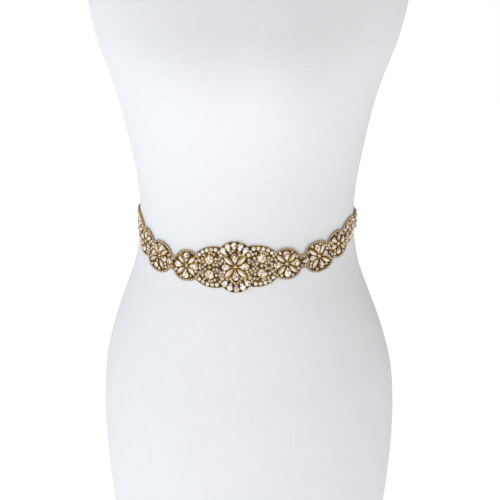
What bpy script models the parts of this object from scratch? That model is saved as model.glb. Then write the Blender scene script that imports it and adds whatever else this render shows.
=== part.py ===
"""Bridal sash on a dress form.

A net applique set with crystals and pearls goes round the front of a linen-covered torso. A satin
ribbon is sewn under each of its ends, and the two tie behind in a bow.

The torso stands on its flat base at z = 0. The front faces -Y, and +X is at the viewer's right.
The sash is drawn flat in (u, v): u runs along it from its middle towards +X, and v runs up.
The bow is drawn in (x, drop): drop is how far a point lies below the knot's middle.
Left is -X and right is +X in every name, also at the back.
"""

import math
from bisect import bisect

import bmesh
import bpy
from mathutils import Vector
from mathutils.geometry import delaunay_2d_cdt

# Lengths, in metres
MM = 0.001
GAP = 0.3 * MM
CLEAR = 0.5 * MM
NET_THICKNESS = 1.0 * MM
SATIN_THICKNESS = 1.0 * MM
RIBBON_WIDTH = 25.0 * MM

# Torso
WAIST_HEIGHT = 360.0 * MM
TORSO_SEGMENTS = 48
BASE_ROUNDING = 5.0 * MM
NECK_ROUNDING = 4.0 * MM
BUST_HEIGHT = 168.0 * MM
BUST_OFFSET = 66.0 * MM
BUST_SPREAD = 50.0 * MM
BUST_RISE = 19.0 * MM

# Height over the waist, half width, depth to the front and depth to the back, in mm
TORSO_SECTIONS = (
    (-360, 156.0, 100.0, 112.0),
    (-310, 162.5, 101.0, 119.0),
    (-257, 167.0, 103.0, 126.0),
    (-210, 167.5, 104.0, 128.0),
    (-163, 163.5, 102.0, 122.0),
    (-117, 151.6, 99.0, 110.0),
    (-82, 139.0, 96.0, 100.0),
    (-45, 126.0, 91.0, 92.0),
    (0, 119.5, 88.0, 88.0),
    (45, 122.0, 90.0, 88.0),
    (90, 130.0, 96.0, 90.0),
    (130, 138.5, 104.0, 94.0),
    (165, 149.0, 109.0, 97.0),
    (200, 162.5, 109.0, 101.0),
    (240, 173.0, 101.0, 105.0),
    (275, 176.0, 90.0, 107.0),
    (305, 175.0, 80.0, 106.0),
    (332, 168.0, 72.0, 101.0),
    (350, 150.0, 66.0, 94.0),
    (363, 118.0, 60.0, 82.0),
    (375, 90.0, 56.0, 70.0),
    (390, 69.0, 54.0, 60.0),
    (410, 59.0, 53.0, 54.0),
    (430, 56.0, 52.0, 52.0),
)

TORSO_TOP = WAIST_HEIGHT + TORSO_SECTIONS[-1][0] * MM

# Up to this height over the base, in mm, the rings of the torso are this far apart
RING_STEPS = (
    (180, 22.0),
    (290, 15.0),
    (410, 11.0),
    (700, 21.0),
    (790, 13.0),
)

# Line of the sash round the torso
SASH_HEIGHT = WAIST_HEIGHT + 4.5 * MM
SASH_DIP = 34.4 * MM
SASH_DIP_POWER = 5.6
SASH_TILT = 7.8 * MM
SASH_STEPS = 720
# Turn either side of a point, in radians, over which a slope is measured
NUDGE = 0.005

# Scallops of the applique's edge: middle, half length, half height and power, in mm
SCALLOPS = (
    (0.0, 22.0, 27.8, 2.1),
    (22.0, 27.0, 22.4, 2.1),
    (55.0, 16.2, 16.6, 2.2),
    (74.5, 12.0, 7.4, 3.0),
    (92.5, 17.5, 16.4, 2.4),
    (121.0, 15.0, 14.0, 2.4),
    (147.0, 16.0, 12.0, 2.4),
    (176.0, 22.0, 9.0, 2.2),
)

# Motifs in order from the middle, with the seam after each: u at its edges and u at its middle, in mm
MOTIFS = (
    ("medallion", 16.0, 18.2),
    ("panel", 43.5, 39.3),
    ("flower", 70.4, 70.4),
    ("link", 80.8, 80.8),
    ("blossom", 108.4, 108.4),
    ("spray", 133.3, 133.3),
    ("leaf", 160.5, 160.5),
    ("end", 198.0, 198.0),
)
EDGE_STEP = 3.0 * MM
EDGE_SAMPLES = 400
SEAM_STEP = 5.0 * MM
SEAM_POWER = 3
GROUND_STEP = 7.5 * MM
GROUND_MARGIN = 2.0 * MM

# Flowers: motif, middle u, pear length and width, marquise length and width, in mm, petals, and how
# much longer an upright petal is, as a share
FLOWERS = (
    ("medallion", 0.0, 11.4, 7.2, 13.0, 5.4, 8, 0.0),
    ("flower", 55.0, 11.0, 7.2, 11.0, 5.0, 8, 0.0),
    ("blossom", 92.5, 8.0, 6.2, 9.8, 4.6, 8, 0.3),
    ("spray", 121.0, 8.0, 5.6, 8.0, 4.8, 6, 0.0),
    ("leaf", 147.0, 7.6, 5.0, 7.6, 4.4, 6, 0.0),
)
FLOWER_MIDDLE = 3.8 * MM
PETAL_START = 3.3 * MM

# Fan of pears over the medallion: turn in degrees, distance from the middle in mm
FAN = (
    (56, 20.6),
    (73, 21.8),
    (90, 22.3),
    (107, 21.8),
    (124, 20.6),
)
FAN_PEAR = (9.6, 6.2)

# Single stones: motif, shape, u, v, length, width in mm, turn of the tip in degrees
# Each is set above the middle line and again below it, unless its v is 0.
STONES = (
    ("medallion", "round", 14.8, 12.4, 4.4, 4.4, 0),
    ("medallion", "round", -14.8, 12.4, 4.4, 4.4, 0),
    ("panel", "round", 28.3, 8.4, 10.0, 10.0, 0),
    ("panel", "round", 20.6, 19.0, 4.6, 4.6, 0),
    ("panel", "round", 25.6, 19.1, 4.4, 4.4, 0),
    ("panel", "round", 30.8, 18.3, 4.6, 4.6, 0),
    ("panel", "round", 35.6, 16.4, 4.4, 4.4, 0),
    ("panel", "round", 39.6, 13.4, 4.2, 4.2, 0),
    ("link", "pear", 75.9, 0.0, 8.8, 6.2, 180),
    ("end", "marquise", 167.5, 3.7, 9.0, 4.0, 20),
    ("end", "marquise", 177.5, 3.5, 9.0, 4.0, 16),
    ("end", "marquise", 186.6, 2.8, 7.6, 3.6, 10),
    ("end", "round", 193.2, 0.0, 3.6, 3.6, 0),
)
STONE_SIDES = {"round": 8, "pear": 8, "marquise": 6}
PEAR_FULLNESS = 1.3
MARQUISE_POINT = 0.3
# Width of a stone's flat top as a share of its outline, and its rise as a share of its width
STONE_TABLE = 0.6
STONE_RISE = 0.62
STONE_RISE_MOST = 4.0 * MM

# Ribbon under the applique's ends, and its pinch at the knot
RIBBON_START = 178.0 * MM
RIBBON_STEP = 8.0 * MM
RIBBON_ACROSS = 6
END_LIFT_FROM = 158.0 * MM
END_LIFT_TO = 174.0 * MM
PINCH_LENGTH = 24.0 * MM
PINCH_STEPS = 6
PINCH_HALF = 4.5 * MM
PINCH_LIFT = 0.8 * MM
PINCH_WAVE = 0.5 * MM
GATHERS = 3

# Knot
KNOT_HALF_WIDTH = 10.0 * MM
KNOT_HALF_HEIGHT = 8.0 * MM
KNOT_HALF_DEPTH = 6.2 * MM
KNOT_END_SCALE = 0.66
KNOT_CREASE = 0.45 * MM
KNOT_CREASES = 2.5
KNOT_POWER = 2.6
KNOT_RINGS = 12
KNOT_SIDES = 16

# Loops: name, side, length in mm, droop in degrees
LOOPS = (
    ("loop_left", -1, 106.0, 38.7),
    ("loop_right", 1, 107.0, 33.3),
)
LOOP_ROOT_DROP = 1.0 * MM
LOOP_ROOT_HALF = 5.5 * MM
LOOP_ROOT_LIFT = 4.6 * MM
LOOP_END_LIFT = 5.0 * MM
LOOP_ROOT_LAYERS = 3.6 * MM
LOOP_END_LAYERS = 5.0 * MM
LOOP_PUFF = 2.2 * MM
LOOP_SPREAD = 0.28
LOOP_WAVE = 0.5 * MM
LOOP_STEPS = 11
LOOP_FOLD_STEPS = 4
LOOP_SKEW = 2.5 * MM

# Tails: outer edge and inner edge, each as its distance to the tail's side and its drop, then the
# outer lift and inner lift, in mm
TAIL_LEFT = (
    (10.6, 5.8, 1.8, 8.6, 10.6, 8.4),
    (13.6, 14.5, 0.6, 17.0, 11.0, 11.0),
    (17.2, 24.0, -1.4, 27.0, 9.8, 12.0),
    (20.4, 34.5, -3.0, 36.5, 7.8, 11.6),
    (22.8, 47.0, 1.4, 46.5, 5.8, 12.4),
    (24.8, 62.0, 5.6, 60.0, 4.4, 12.6),
    (26.4, 80.0, 7.6, 78.0, 3.8, 11.6),
    (28.4, 102.0, 8.6, 101.0, 3.4, 9.8),
    (30.8, 130.0, 8.8, 130.0, 3.2, 7.4),
    (33.6, 170.0, 9.8, 170.0, 3.0, 4.8),
    (36.4, 215.0, 12.0, 215.0, 3.0, 3.4),
    (38.6, 262.0, 14.0, 268.0, 4.0, 4.4),
)
TAIL_RIGHT = (
    (14.0, 3.5, 2.0, 8.6, 11.6, 8.4),
    (18.0, 11.0, 1.4, 15.0, 12.4, 10.4),
    (21.5, 20.0, 2.6, 24.0, 12.3, 10.0),
    (24.2, 29.5, 4.8, 34.0, 11.2, 7.6),
    (27.2, 41.0, 7.6, 44.0, 8.4, 5.6),
    (30.0, 55.0, 10.0, 56.5, 5.8, 4.6),
    (33.4, 75.0, 12.4, 75.5, 4.2, 4.0),
    (37.0, 100.0, 14.6, 100.0, 3.6, 3.6),
    (40.5, 130.0, 16.9, 130.0, 3.2, 3.2),
    (44.0, 170.0, 19.6, 170.0, 3.0, 3.0),
    (47.4, 215.0, 22.8, 215.0, 3.0, 3.0),
    (50.0, 272.0, 25.2, 266.0, 4.4, 4.0),
)
TAIL_ACROSS = 4
TAIL_BOW = 0.7 * MM
TAIL_SUBSTEPS = 2

# Finishes: base colour, roughness and metallic value
LINEN = ("linen", (0.80, 0.81, 0.84), 0.85, 0.0)
SATIN = ("white satin", (0.90, 0.89, 0.93), 0.35, 0.0)
CRYSTAL = ("crystal in gold settings", (0.78, 0.66, 0.48), 0.20, 0.35)


def smooth(t):
    """Ease from 0 to 1 as t goes from 0 to 1."""
    t = min(max(t, 0.0), 1.0)
    return t * t * (3.0 - 2.0 * t)


def spline_row(rows, key):
    """A row between rows of a table that climb in their first column, on a smooth curve."""
    i = min(max(bisect([row[0] for row in rows], key), 1), len(rows) - 1)
    low, high = rows[i - 1], rows[i]
    before, after = rows[max(i - 2, 0)], rows[min(i + 1, len(rows) - 1)]
    span = high[0] - low[0]
    t = (key - low[0]) / span
    values = []
    for column in range(1, len(low)):
        slope_low = (high[column] - before[column]) / (high[0] - before[0]) * span
        slope_high = (after[column] - low[column]) / (after[0] - low[0]) * span
        values.append(
            low[column] * (1 + 2 * t) * (1 - t) ** 2
            + slope_low * t * (1 - t) ** 2
            + high[column] * t * t * (3 - 2 * t)
            + slope_high * t * t * (t - 1)
        )
    return values


def torso_section(z):
    """Half width, middle y and half depth of the torso at a height."""
    half_width, front, back = spline_row(TORSO_SECTIONS, (z - WAIST_HEIGHT) / MM)
    return half_width * MM, (back - front) / 2 * MM, (back + front) / 2 * MM


def torso_surface(turn, z):
    """Point of the torso at a turn from the front towards +X."""
    half_width, middle, half_depth = torso_section(z)
    x = half_width * math.sin(turn)
    y = middle - half_depth * math.cos(turn)
    up = (z - WAIST_HEIGHT - BUST_HEIGHT) / BUST_SPREAD
    for side in (-1, 1):
        aside = (x - side * BUST_OFFSET) / BUST_SPREAD
        y -= max(0.0, math.cos(turn)) * BUST_RISE * math.exp(-(up * up + aside * aside) / 2)
    return Vector((x, y, z))


def torso_point(turn, z, lift):
    """Point at a distance off the torso."""
    along = torso_surface(turn + NUDGE, z) - torso_surface(turn - NUDGE, z)
    upward = torso_surface(turn, z + MM) - torso_surface(turn, z - MM)
    return torso_surface(turn, z) + along.cross(upward).normalized() * lift


def back_point(x, drop, lift):
    """Point off the back of the torso, drop below the knot's middle."""
    z = SASH_HEIGHT - drop
    return torso_point(math.pi - math.asin(x / torso_section(z)[0]), z, lift)


def sash_line(turn):
    """Point of the sash's middle line, which dips at the front and is a little higher at its right."""
    drop = 0.0
    if math.cos(turn) > 0:
        drop = SASH_DIP * (1 - abs(math.sin(turn)) ** SASH_DIP_POWER)
        drop -= SASH_TILT * math.sin(turn) * math.cos(turn) ** 2
    return torso_surface(turn, SASH_HEIGHT - drop)


def sash_lengths(side):
    """Lengths and turns along the sash's middle line, from its middle to the back of the torso."""
    lengths, turns = [0.0], [0.0]
    step = side * math.pi / SASH_STEPS
    for _ in range(SASH_STEPS):
        turns.append(turns[-1] + step)
        lengths.append(lengths[-1] + (sash_line(turns[-1]) - sash_line(turns[-2])).length)
    return lengths, turns


SASH_SIDES = {side: sash_lengths(side) for side in (-1, 1)}


def sash_point(u, v, lift):
    """Point of the flat drawing, laid on the torso."""
    lengths, turns = SASH_SIDES[1 if u >= 0 else -1]
    i = min(max(bisect(lengths, abs(u)), 1), SASH_STEPS)
    part = (abs(u) - lengths[i - 1]) / (lengths[i] - lengths[i - 1])
    turn = turns[i - 1] + (turns[i] - turns[i - 1]) * part
    along = (sash_line(turn + NUDGE) - sash_line(turn - NUDGE)).normalized()
    foot = sash_line(turn)
    outward = (torso_point(turn, foot.z, MM) - foot).normalized()
    target = foot + outward.cross(along).normalized() * v
    half_width, middle, half_depth = torso_section(target.z)
    turn = math.atan2(target.x / half_width, (middle - target.y) / half_depth)
    return torso_point(turn, target.z, lift)


def edge_height(u):
    """Half height of the applique at a length along it."""
    most = 0.0
    for middle, half_length, half_height, power in SCALLOPS:
        part = abs(abs(u) / MM - middle) / half_length
        if part < 1.0:
            most = max(most, half_height * MM * (1 - part**power) ** (1 / power))
    return most


def edge_run(start, end):
    """Points of the applique's top edge, EDGE_STEP apart, from start to end."""
    places = [start + (end - start) * i / EDGE_SAMPLES for i in range(EDGE_SAMPLES + 1)]
    fine = [Vector((u, edge_height(u))) for u in places]
    lengths = [0.0]
    for before, after in zip(fine, fine[1:]):
        lengths.append(lengths[-1] + (after - before).length)
    steps = max(2, round(lengths[-1] / EDGE_STEP))
    return [fine[bisect(lengths, lengths[-1] * i / steps) - 1] for i in range(steps)] + [fine[-1]]


def seam_run(edge_u, middle_u, shift):
    """Points between the ends of a seam, from its foot to its top."""
    top = edge_height(edge_u + shift)
    steps = max(2, round(2 * top / SEAM_STEP))
    parts = [2 * i / steps - 1 for i in range(1, steps)]
    return [
        Vector((middle_u + (edge_u - middle_u) * abs(part) ** SEAM_POWER + shift, top * part))
        for part in parts
    ]


def motif_outline(index):
    """Outline of a motif right of the middle, or of the medallion, anticlockwise."""
    _, edge_after, middle_after = MOTIFS[index]
    last = index == len(MOTIFS) - 1
    after = [] if last else seam_run(edge_after * MM, middle_after * MM, -GAP / 2)
    end = edge_after * MM - (0.0 if last else GAP / 2)
    if index == 0:
        start = -end
        before = [Vector((-point.x, point.y)) for point in after]
    else:
        _, edge_before, middle_before = MOTIFS[index - 1]
        start = edge_before * MM + GAP / 2
        before = seam_run(edge_before * MM, middle_before * MM, GAP / 2)
    top = edge_run(start, end)
    foot = [Vector((point.x, -point.y)) for point in top]
    if last:
        foot = foot[:-1]
    return foot + after + top[::-1] + before[::-1]


def stone_ring(shape, length, width, scale):
    """Outline of a stone round its middle, with its tip at +x."""
    count = STONE_SIDES[shape]
    points = []
    for i in range(count):
        angle = 2 * math.pi * i / count
        half = width / 2 * math.sin(angle)
        if shape == "pear":
            half *= math.sin(angle / 2) * PEAR_FULLNESS
        if shape == "marquise":
            half *= abs(math.sin(angle)) ** MARQUISE_POINT
        points.append(Vector((length / 2 * math.cos(angle), half)) * scale)
    return points


def motif_stones(name):
    """Stones of a motif: shape, middle, length, width and turn of the tip, in metres and radians."""
    stones = []
    for motif, u, pear_length, pear_width, leaf_length, leaf_width, petals, tall in FLOWERS:
        if motif != name:
            continue
        stones.append(("round", Vector((u * MM, 0.0)), FLOWER_MIDDLE, FLOWER_MIDDLE, 0.0))
        for i in range(petals):
            turn = 2 * math.pi * i / petals
            shape, length, width = (
                ("marquise", leaf_length, leaf_width) if i % 2 else ("pear", pear_length, pear_width)
            )
            length *= 1 + tall * math.sin(turn) ** 2
            reach = PETAL_START + length / 2 * MM
            middle = Vector((u * MM + reach * math.cos(turn), reach * math.sin(turn)))
            stones.append((shape, middle, length * MM, width * MM, turn + math.pi))
    if name == "medallion":
        for degrees, reach in FAN:
            for side in (-1, 1):
                turn = side * math.radians(degrees)
                middle = Vector((math.cos(turn), math.sin(turn))) * reach * MM
                stones.append(("pear", middle, FAN_PEAR[0] * MM, FAN_PEAR[1] * MM, turn + math.pi))
    for motif, shape, u, v, length, width, degrees in STONES:
        if motif != name:
            continue
        for side in (-1, 1) if v else (1,):
            middle = Vector((u, side * v)) * MM
            stones.append((shape, middle, length * MM, width * MM, side * math.radians(degrees)))
    return stones


def inner_lift(u):
    """Distance from the torso to the inside of the applique, which climbs over the ribbon's end."""
    over = CLEAR + SATIN_THICKNESS + GAP
    part = (abs(u) - END_LIFT_FROM) / (END_LIFT_TO - END_LIFT_FROM)
    return CLEAR + (over - CLEAR) * smooth(part)


def inside(point, ring):
    """Whether a flat point is inside a ring of points."""
    odd = False
    for a, b in zip(ring, ring[1:] + ring[:1]):
        if (a.y > point.y) != (b.y > point.y):
            if point.x < a.x + (b.x - a.x) * (point.y - a.y) / (b.y - a.y):
                odd = not odd
    return odd


def far_from(point, ring, distance):
    """Whether a flat point is at least a distance from each corner of a ring."""
    return all((point - corner).length > distance for corner in ring)


def ground_points(outline, rings):
    """A plain grid of points inside an outline and clear of the rings on it."""
    points = []
    first = round(min(p.x for p in outline) / GROUND_STEP) - 1
    last = round(max(p.x for p in outline) / GROUND_STEP) + 1
    rise = round(max(p.y for p in outline) / GROUND_STEP) + 1
    for i in range(first, last + 1):
        for j in range(-rise, rise + 1):
            point = Vector((i * GROUND_STEP, j * GROUND_STEP))
            if not inside(point, outline) or not far_from(point, outline, GROUND_MARGIN):
                continue
            if all(not inside(point, ring) and far_from(point, ring, GROUND_MARGIN) for ring in rings):
                points.append(point)
    return points


def triangulate(outline, rings, points):
    """Triangles over an outline whose edges keep its rings. Each corner is an index into all points."""
    flat = list(outline)
    edges = []
    for ring in rings:
        edges += [(len(flat) + i, len(flat) + (i + 1) % len(ring)) for i in range(len(ring))]
        flat += ring
    flat += points
    face = list(range(len(outline)))
    result = delaunay_2d_cdt(flat, edges, [face], 1, 1e-7)
    if len(result[0]) != len(flat):
        raise ValueError("stones cross each other or the edge")
    source = [origin[0] for origin in result[3]]
    return flat, [[source[i] for i in triangle] for triangle in result[2]]


def new_object(name, mesh_maker, finish):
    """An object with its own mesh and material, in the part's collection."""
    mesh = bpy.data.meshes.new(name)
    work = bmesh.new()
    mesh_maker(work)
    work.to_mesh(mesh)
    work.free()
    label, colour, roughness, metallic = finish
    material = bpy.data.materials.new(f"{label} {name}")
    material.use_nodes = True
    shader = material.node_tree.nodes["Principled BSDF"]
    shader.inputs["Base Color"].default_value = (*colour, 1.0)
    shader.inputs["Roughness"].default_value = roughness
    shader.inputs["Metallic"].default_value = metallic
    mesh.materials.append(material)
    item = bpy.data.objects.new(name, mesh)
    bpy.data.collections["bridal_sash"].objects.link(item)
    return item


def shade_round(item, degrees):
    """Shade an object smooth, with edges kept sharp above an angle."""
    item.data.shade_smooth()
    item.data.set_sharp_from_angle(angle=math.radians(degrees))


def loft(work, rings):
    """Faces between closed rings of points that run anticlockwise seen from the last ring."""
    corners = [[work.verts.new(point) for point in ring] for ring in rings]
    for low, high in zip(corners, corners[1:]):
        for i in range(len(low)):
            j = (i + 1) % len(low)
            work.faces.new((low[i], low[j], high[j], high[i]))
    work.faces.new(corners[0][::-1])
    work.faces.new(corners[-1])


def torso_heights():
    """Heights of the torso's rings, closest where the sash and bow lie."""
    heights = [BASE_ROUNDING]
    for limit, step in RING_STEPS:
        while heights[-1] < (limit - step / 2) * MM:
            heights.append(heights[-1] + step * MM)
    return [z for z in heights if z < TORSO_TOP - 2 * NECK_ROUNDING] + [TORSO_TOP - NECK_ROUNDING]


def make_torso():
    """The dress form: a torso with rounded rims at its base and neck."""
    turns = [2 * math.pi * i / TORSO_SEGMENTS for i in range(TORSO_SEGMENTS)]

    def ring(z, lift=0.0, level=None):
        points = [torso_point(turn, z, lift) for turn in turns]
        return [Vector((point.x, point.y, z if level is None else level)) for point in points]

    def rim(z, end, size, degrees):
        """Ring on the round rim between the height z and an end of the torso."""
        angle = math.radians(degrees)
        return ring(z, size * (math.cos(angle) - 1), z + (end - z) * math.sin(angle))

    def fill(work):
        foot = [rim(BASE_ROUNDING, 0.0, BASE_ROUNDING, degrees) for degrees in (90, 45)]
        head = [rim(TORSO_TOP - NECK_ROUNDING, TORSO_TOP, NECK_ROUNDING, degrees) for degrees in (45, 90)]
        loft(work, foot + [ring(z) for z in torso_heights()] + head)

    shade_round(new_object("dress_form", fill, LINEN), 50)


def make_motif(name, outline, stones):
    """One motif: a net wall with a plain inside, and its large stones raised in its outer points."""
    rings = []
    rises = []
    for shape, middle, length, width, turn in stones:
        rise = min(STONE_RISE * width, STONE_RISE_MOST)
        for scale, lift in ((1.0, 0.0), (STONE_TABLE, rise)):
            ring = stone_ring(shape, length, width, scale)
            turned = [
                Vector((p.x * math.cos(turn) - p.y * math.sin(turn),
                        p.x * math.sin(turn) + p.y * math.cos(turn)))
                for p in ring
            ]
            rings.append([middle + point for point in turned])
            rises += [lift] * len(ring)

    def fill(work):
        ground = ground_points(outline, rings)
        flat, faces = triangulate(outline, rings, ground)
        lifts = [0.0] * len(outline) + rises + [0.0] * len(ground)
        outer = [
            work.verts.new(sash_point(p.x, p.y, inner_lift(p.x) + NET_THICKNESS + lift))
            for p, lift in zip(flat, lifts)
        ]
        for face in faces:
            work.faces.new([outer[i] for i in face])
        flat, faces = triangulate(outline, [], ground_points(outline, []))
        inner = [work.verts.new(sash_point(p.x, p.y, inner_lift(p.x))) for p in flat]
        for face in faces:
            work.faces.new([inner[i] for i in face[::-1]])
        for i in range(len(outline)):
            j = (i + 1) % len(outline)
            work.faces.new((inner[i], inner[j], outer[j], outer[i]))

    shade_round(new_object(name, fill, CRYSTAL), 20)


def make_applique():
    """All motifs: the medallion, and each other one right and left of it."""
    for index, (motif, _, _) in enumerate(MOTIFS):
        outline = motif_outline(index)
        stones = motif_stones(motif)
        if index == 0:
            make_motif("motif_medallion", outline, stones)
            continue
        make_motif(f"motif_{motif}_right", outline, stones)
        outline = [Vector((-point.x, point.y)) for point in outline[::-1]]
        stones = [
            (shape, Vector((-middle.x, middle.y)), length, width, math.pi - turn)
            for shape, middle, length, width, turn in stones
        ]
        make_motif(f"motif_{motif}_left", outline, stones)


def make_strip(name, rows):
    """A satin strip of even thickness round rows of points that run across it."""

    def fill(work):
        corners = [[work.verts.new(point) for point in row] for row in rows]
        for low, high in zip(corners, corners[1:]):
            for j in range(len(low) - 1):
                work.faces.new((low[j], low[j + 1], high[j + 1], high[j]))

    item = new_object(name, fill, SATIN)
    wall = item.modifiers.new("satin", "SOLIDIFY")
    wall.thickness = SATIN_THICKNESS
    wall.offset = 0.0
    shade_round(item, 50)


def across(count):
    """Places across a strip, from -1 at one edge to 1 at the other."""
    return [2 * j / count - 1 for j in range(count + 1)]


def make_ribbon(name, side):
    """The ribbon round the waist, from under the applique's end to its pinch at the knot."""
    end = SASH_SIDES[side][0][-1] - KNOT_HALF_WIDTH - GAP
    flat_end = end - PINCH_LENGTH
    steps = round((flat_end - RIBBON_START) / RIBBON_STEP)
    reaches = [RIBBON_START + (flat_end - RIBBON_START) * i / steps for i in range(steps)]
    reaches += [flat_end + PINCH_LENGTH * i / PINCH_STEPS for i in range(PINCH_STEPS + 1)]
    rows = []
    for reach in reaches:
        pinch = smooth((reach - flat_end) / PINCH_LENGTH)
        half = RIBBON_WIDTH / 2 * (1 - pinch) + PINCH_HALF * pinch
        row = []
        for w in across(RIBBON_ACROSS):
            lift = CLEAR + SATIN_THICKNESS / 2
            lift += pinch * (PINCH_LIFT + PINCH_WAVE * math.cos(GATHERS * math.pi * w))
            row.append(sash_point(side * reach, half * w, lift))
        rows.append(row)
    make_strip(name, rows)


def knot_ring(part):
    """Ring of the knot at part of its half width, -1 to 1, tapered and creased like a tight wrap."""
    scale = 1 - (1 - KNOT_END_SCALE) * part * part
    crease = KNOT_CREASE * math.cos(KNOT_CREASES * math.pi * part)
    points = []
    for i in range(KNOT_SIDES):
        angle = 2 * math.pi * i / KNOT_SIDES
        shape = [
            math.copysign(abs(value) ** (2 / KNOT_POWER), value)
            for value in (math.cos(angle), math.sin(angle))
        ]
        depth = (KNOT_HALF_DEPTH * scale + crease * (shape[0] > 0)) * shape[0]
        height = (KNOT_HALF_HEIGHT * scale + crease) * shape[1]
        points.append(
            back_point(part * KNOT_HALF_WIDTH, 0.0, CLEAR + KNOT_HALF_DEPTH + depth)
            + Vector((0.0, 0.0, height))
        )
    return points


def make_knot():
    """The stretch of ribbon wrapped round the middle of the bow."""
    parts = across(KNOT_RINGS)
    item = new_object("bow_knot", lambda work: loft(work, [knot_ring(part) for part in parts]), SATIN)
    shade_round(item, 60)


def make_loop(name, side, length, droop):
    """One loop of the bow: out from the knot, round its fold and back underneath."""
    length *= MM
    droop = math.radians(droop)
    radius = LOOP_END_LAYERS / 2

    def back_lift(t):
        return LOOP_ROOT_LIFT + LOOP_END_LIFT * t * t

    def layer_gap(t):
        opening = (LOOP_END_LAYERS - LOOP_ROOT_LAYERS) * smooth(t / LOOP_SPREAD)
        return LOOP_ROOT_LAYERS + opening + LOOP_PUFF * math.sin(math.pi * t) ** 2

    def row(t, reach, lift, skew):
        half = LOOP_ROOT_HALF + (RIBBON_WIDTH / 2 - LOOP_ROOT_HALF) * smooth(t / LOOP_SPREAD)
        points = []
        for w in across(RIBBON_ACROSS):
            wave = LOOP_WAVE * (1 - smooth(t / LOOP_SPREAD)) * math.cos(GATHERS * math.pi * w)
            x = side * (KNOT_HALF_WIDTH + GAP + reach * math.cos(droop))
            x += side * half * w * math.sin(droop) * smooth(t / LOOP_SPREAD)
            drop = LOOP_ROOT_DROP + reach * math.sin(droop) - half * w * math.cos(droop) + skew
            points.append(back_point(x, drop, lift + wave))
        return points

    ahead = [i / LOOP_STEPS for i in range(LOOP_STEPS + 1)]
    flat = length - radius
    rows = [row(t, t * flat, back_lift(t) + layer_gap(t), 0.0) for t in ahead]
    for i in range(1, LOOP_FOLD_STEPS):
        angle = math.pi * i / LOOP_FOLD_STEPS
        lift = back_lift(1) + radius + radius * math.cos(angle)
        skew = LOOP_SKEW * i / LOOP_FOLD_STEPS
        rows.append(row(1, flat + radius * math.sin(angle), lift, skew))
    rows += [row(t, t * flat, back_lift(t), LOOP_SKEW * t) for t in ahead[::-1]]
    make_strip(name, rows)


def make_tail(name, side, table):
    """One tail of the bow, from under the knot down the back of the torso."""
    keyed = [(i, *values) for i, values in enumerate(table)]
    rows = []
    for i in range((len(table) - 1) * TAIL_SUBSTEPS + 1):
        outer, outer_drop, inner, inner_drop, outer_lift, inner_lift = [
            value * MM for value in spline_row(keyed, i / TAIL_SUBSTEPS)
        ]
        row = []
        for w in across(TAIL_ACROSS):
            part = (w + 1) / 2
            x = side * (outer + (inner - outer) * part)
            drop = outer_drop + (inner_drop - outer_drop) * part
            lift = outer_lift + (inner_lift - outer_lift) * part + TAIL_BOW * (1 - w * w)
            row.append(back_point(x, drop, lift))
        rows.append(row)
    make_strip(name, rows)


def clear_scene():
    """Remove what the scene holds, and add the part's collection."""
    for item in list(bpy.data.objects):
        bpy.data.objects.remove(item, do_unlink=True)
    collection = bpy.data.collections.new("bridal_sash")
    bpy.context.scene.collection.children.link(collection)


clear_scene()
make_torso()
make_applique()
make_ribbon("ribbon_left", -1)
make_ribbon("ribbon_right", 1)
make_knot()
for loop in LOOPS:
    make_loop(*loop)
make_tail("tail_left", -1, TAIL_LEFT)
make_tail("tail_right", 1, TAIL_RIGHT)
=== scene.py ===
"""Bridal sash on a dress form: net set with crystals, gold settings and pearls, with a satin bow behind.

The sash is drawn flat in (u, v): u runs along it from its middle towards +X, and v runs up.
The bow is drawn in (x, drop): drop is how far a point lies below the knot's middle.
Left is -X and right is +X in every name, also at the back.
"""

import math
from bisect import bisect

import bmesh
import bpy
import numpy as np
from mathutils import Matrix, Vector
from mathutils.geometry import delaunay_2d_cdt


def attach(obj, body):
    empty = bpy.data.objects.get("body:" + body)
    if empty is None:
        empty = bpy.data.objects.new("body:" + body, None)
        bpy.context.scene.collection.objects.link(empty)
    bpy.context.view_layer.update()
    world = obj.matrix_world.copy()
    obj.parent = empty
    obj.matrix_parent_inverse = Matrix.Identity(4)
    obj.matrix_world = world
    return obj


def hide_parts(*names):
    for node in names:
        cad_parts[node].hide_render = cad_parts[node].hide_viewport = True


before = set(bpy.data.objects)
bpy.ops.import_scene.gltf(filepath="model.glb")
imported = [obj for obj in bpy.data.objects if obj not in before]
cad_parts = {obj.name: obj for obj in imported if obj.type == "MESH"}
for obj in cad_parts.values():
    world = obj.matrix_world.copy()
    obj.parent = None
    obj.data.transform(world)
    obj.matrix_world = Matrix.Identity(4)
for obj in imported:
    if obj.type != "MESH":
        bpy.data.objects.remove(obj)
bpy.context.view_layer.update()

MM = 0.001

# Camera
VIEW_TARGET = Vector((0.0038, 0.0, 0.325))
VIEW_TURN = math.radians(7.5)
VIEW_ELEVATION = math.radians(15.0)
VIEW_DISTANCE = 1.72
VIEW_LENS = 110.0
SENSOR_WIDTH = 36.0

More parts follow.
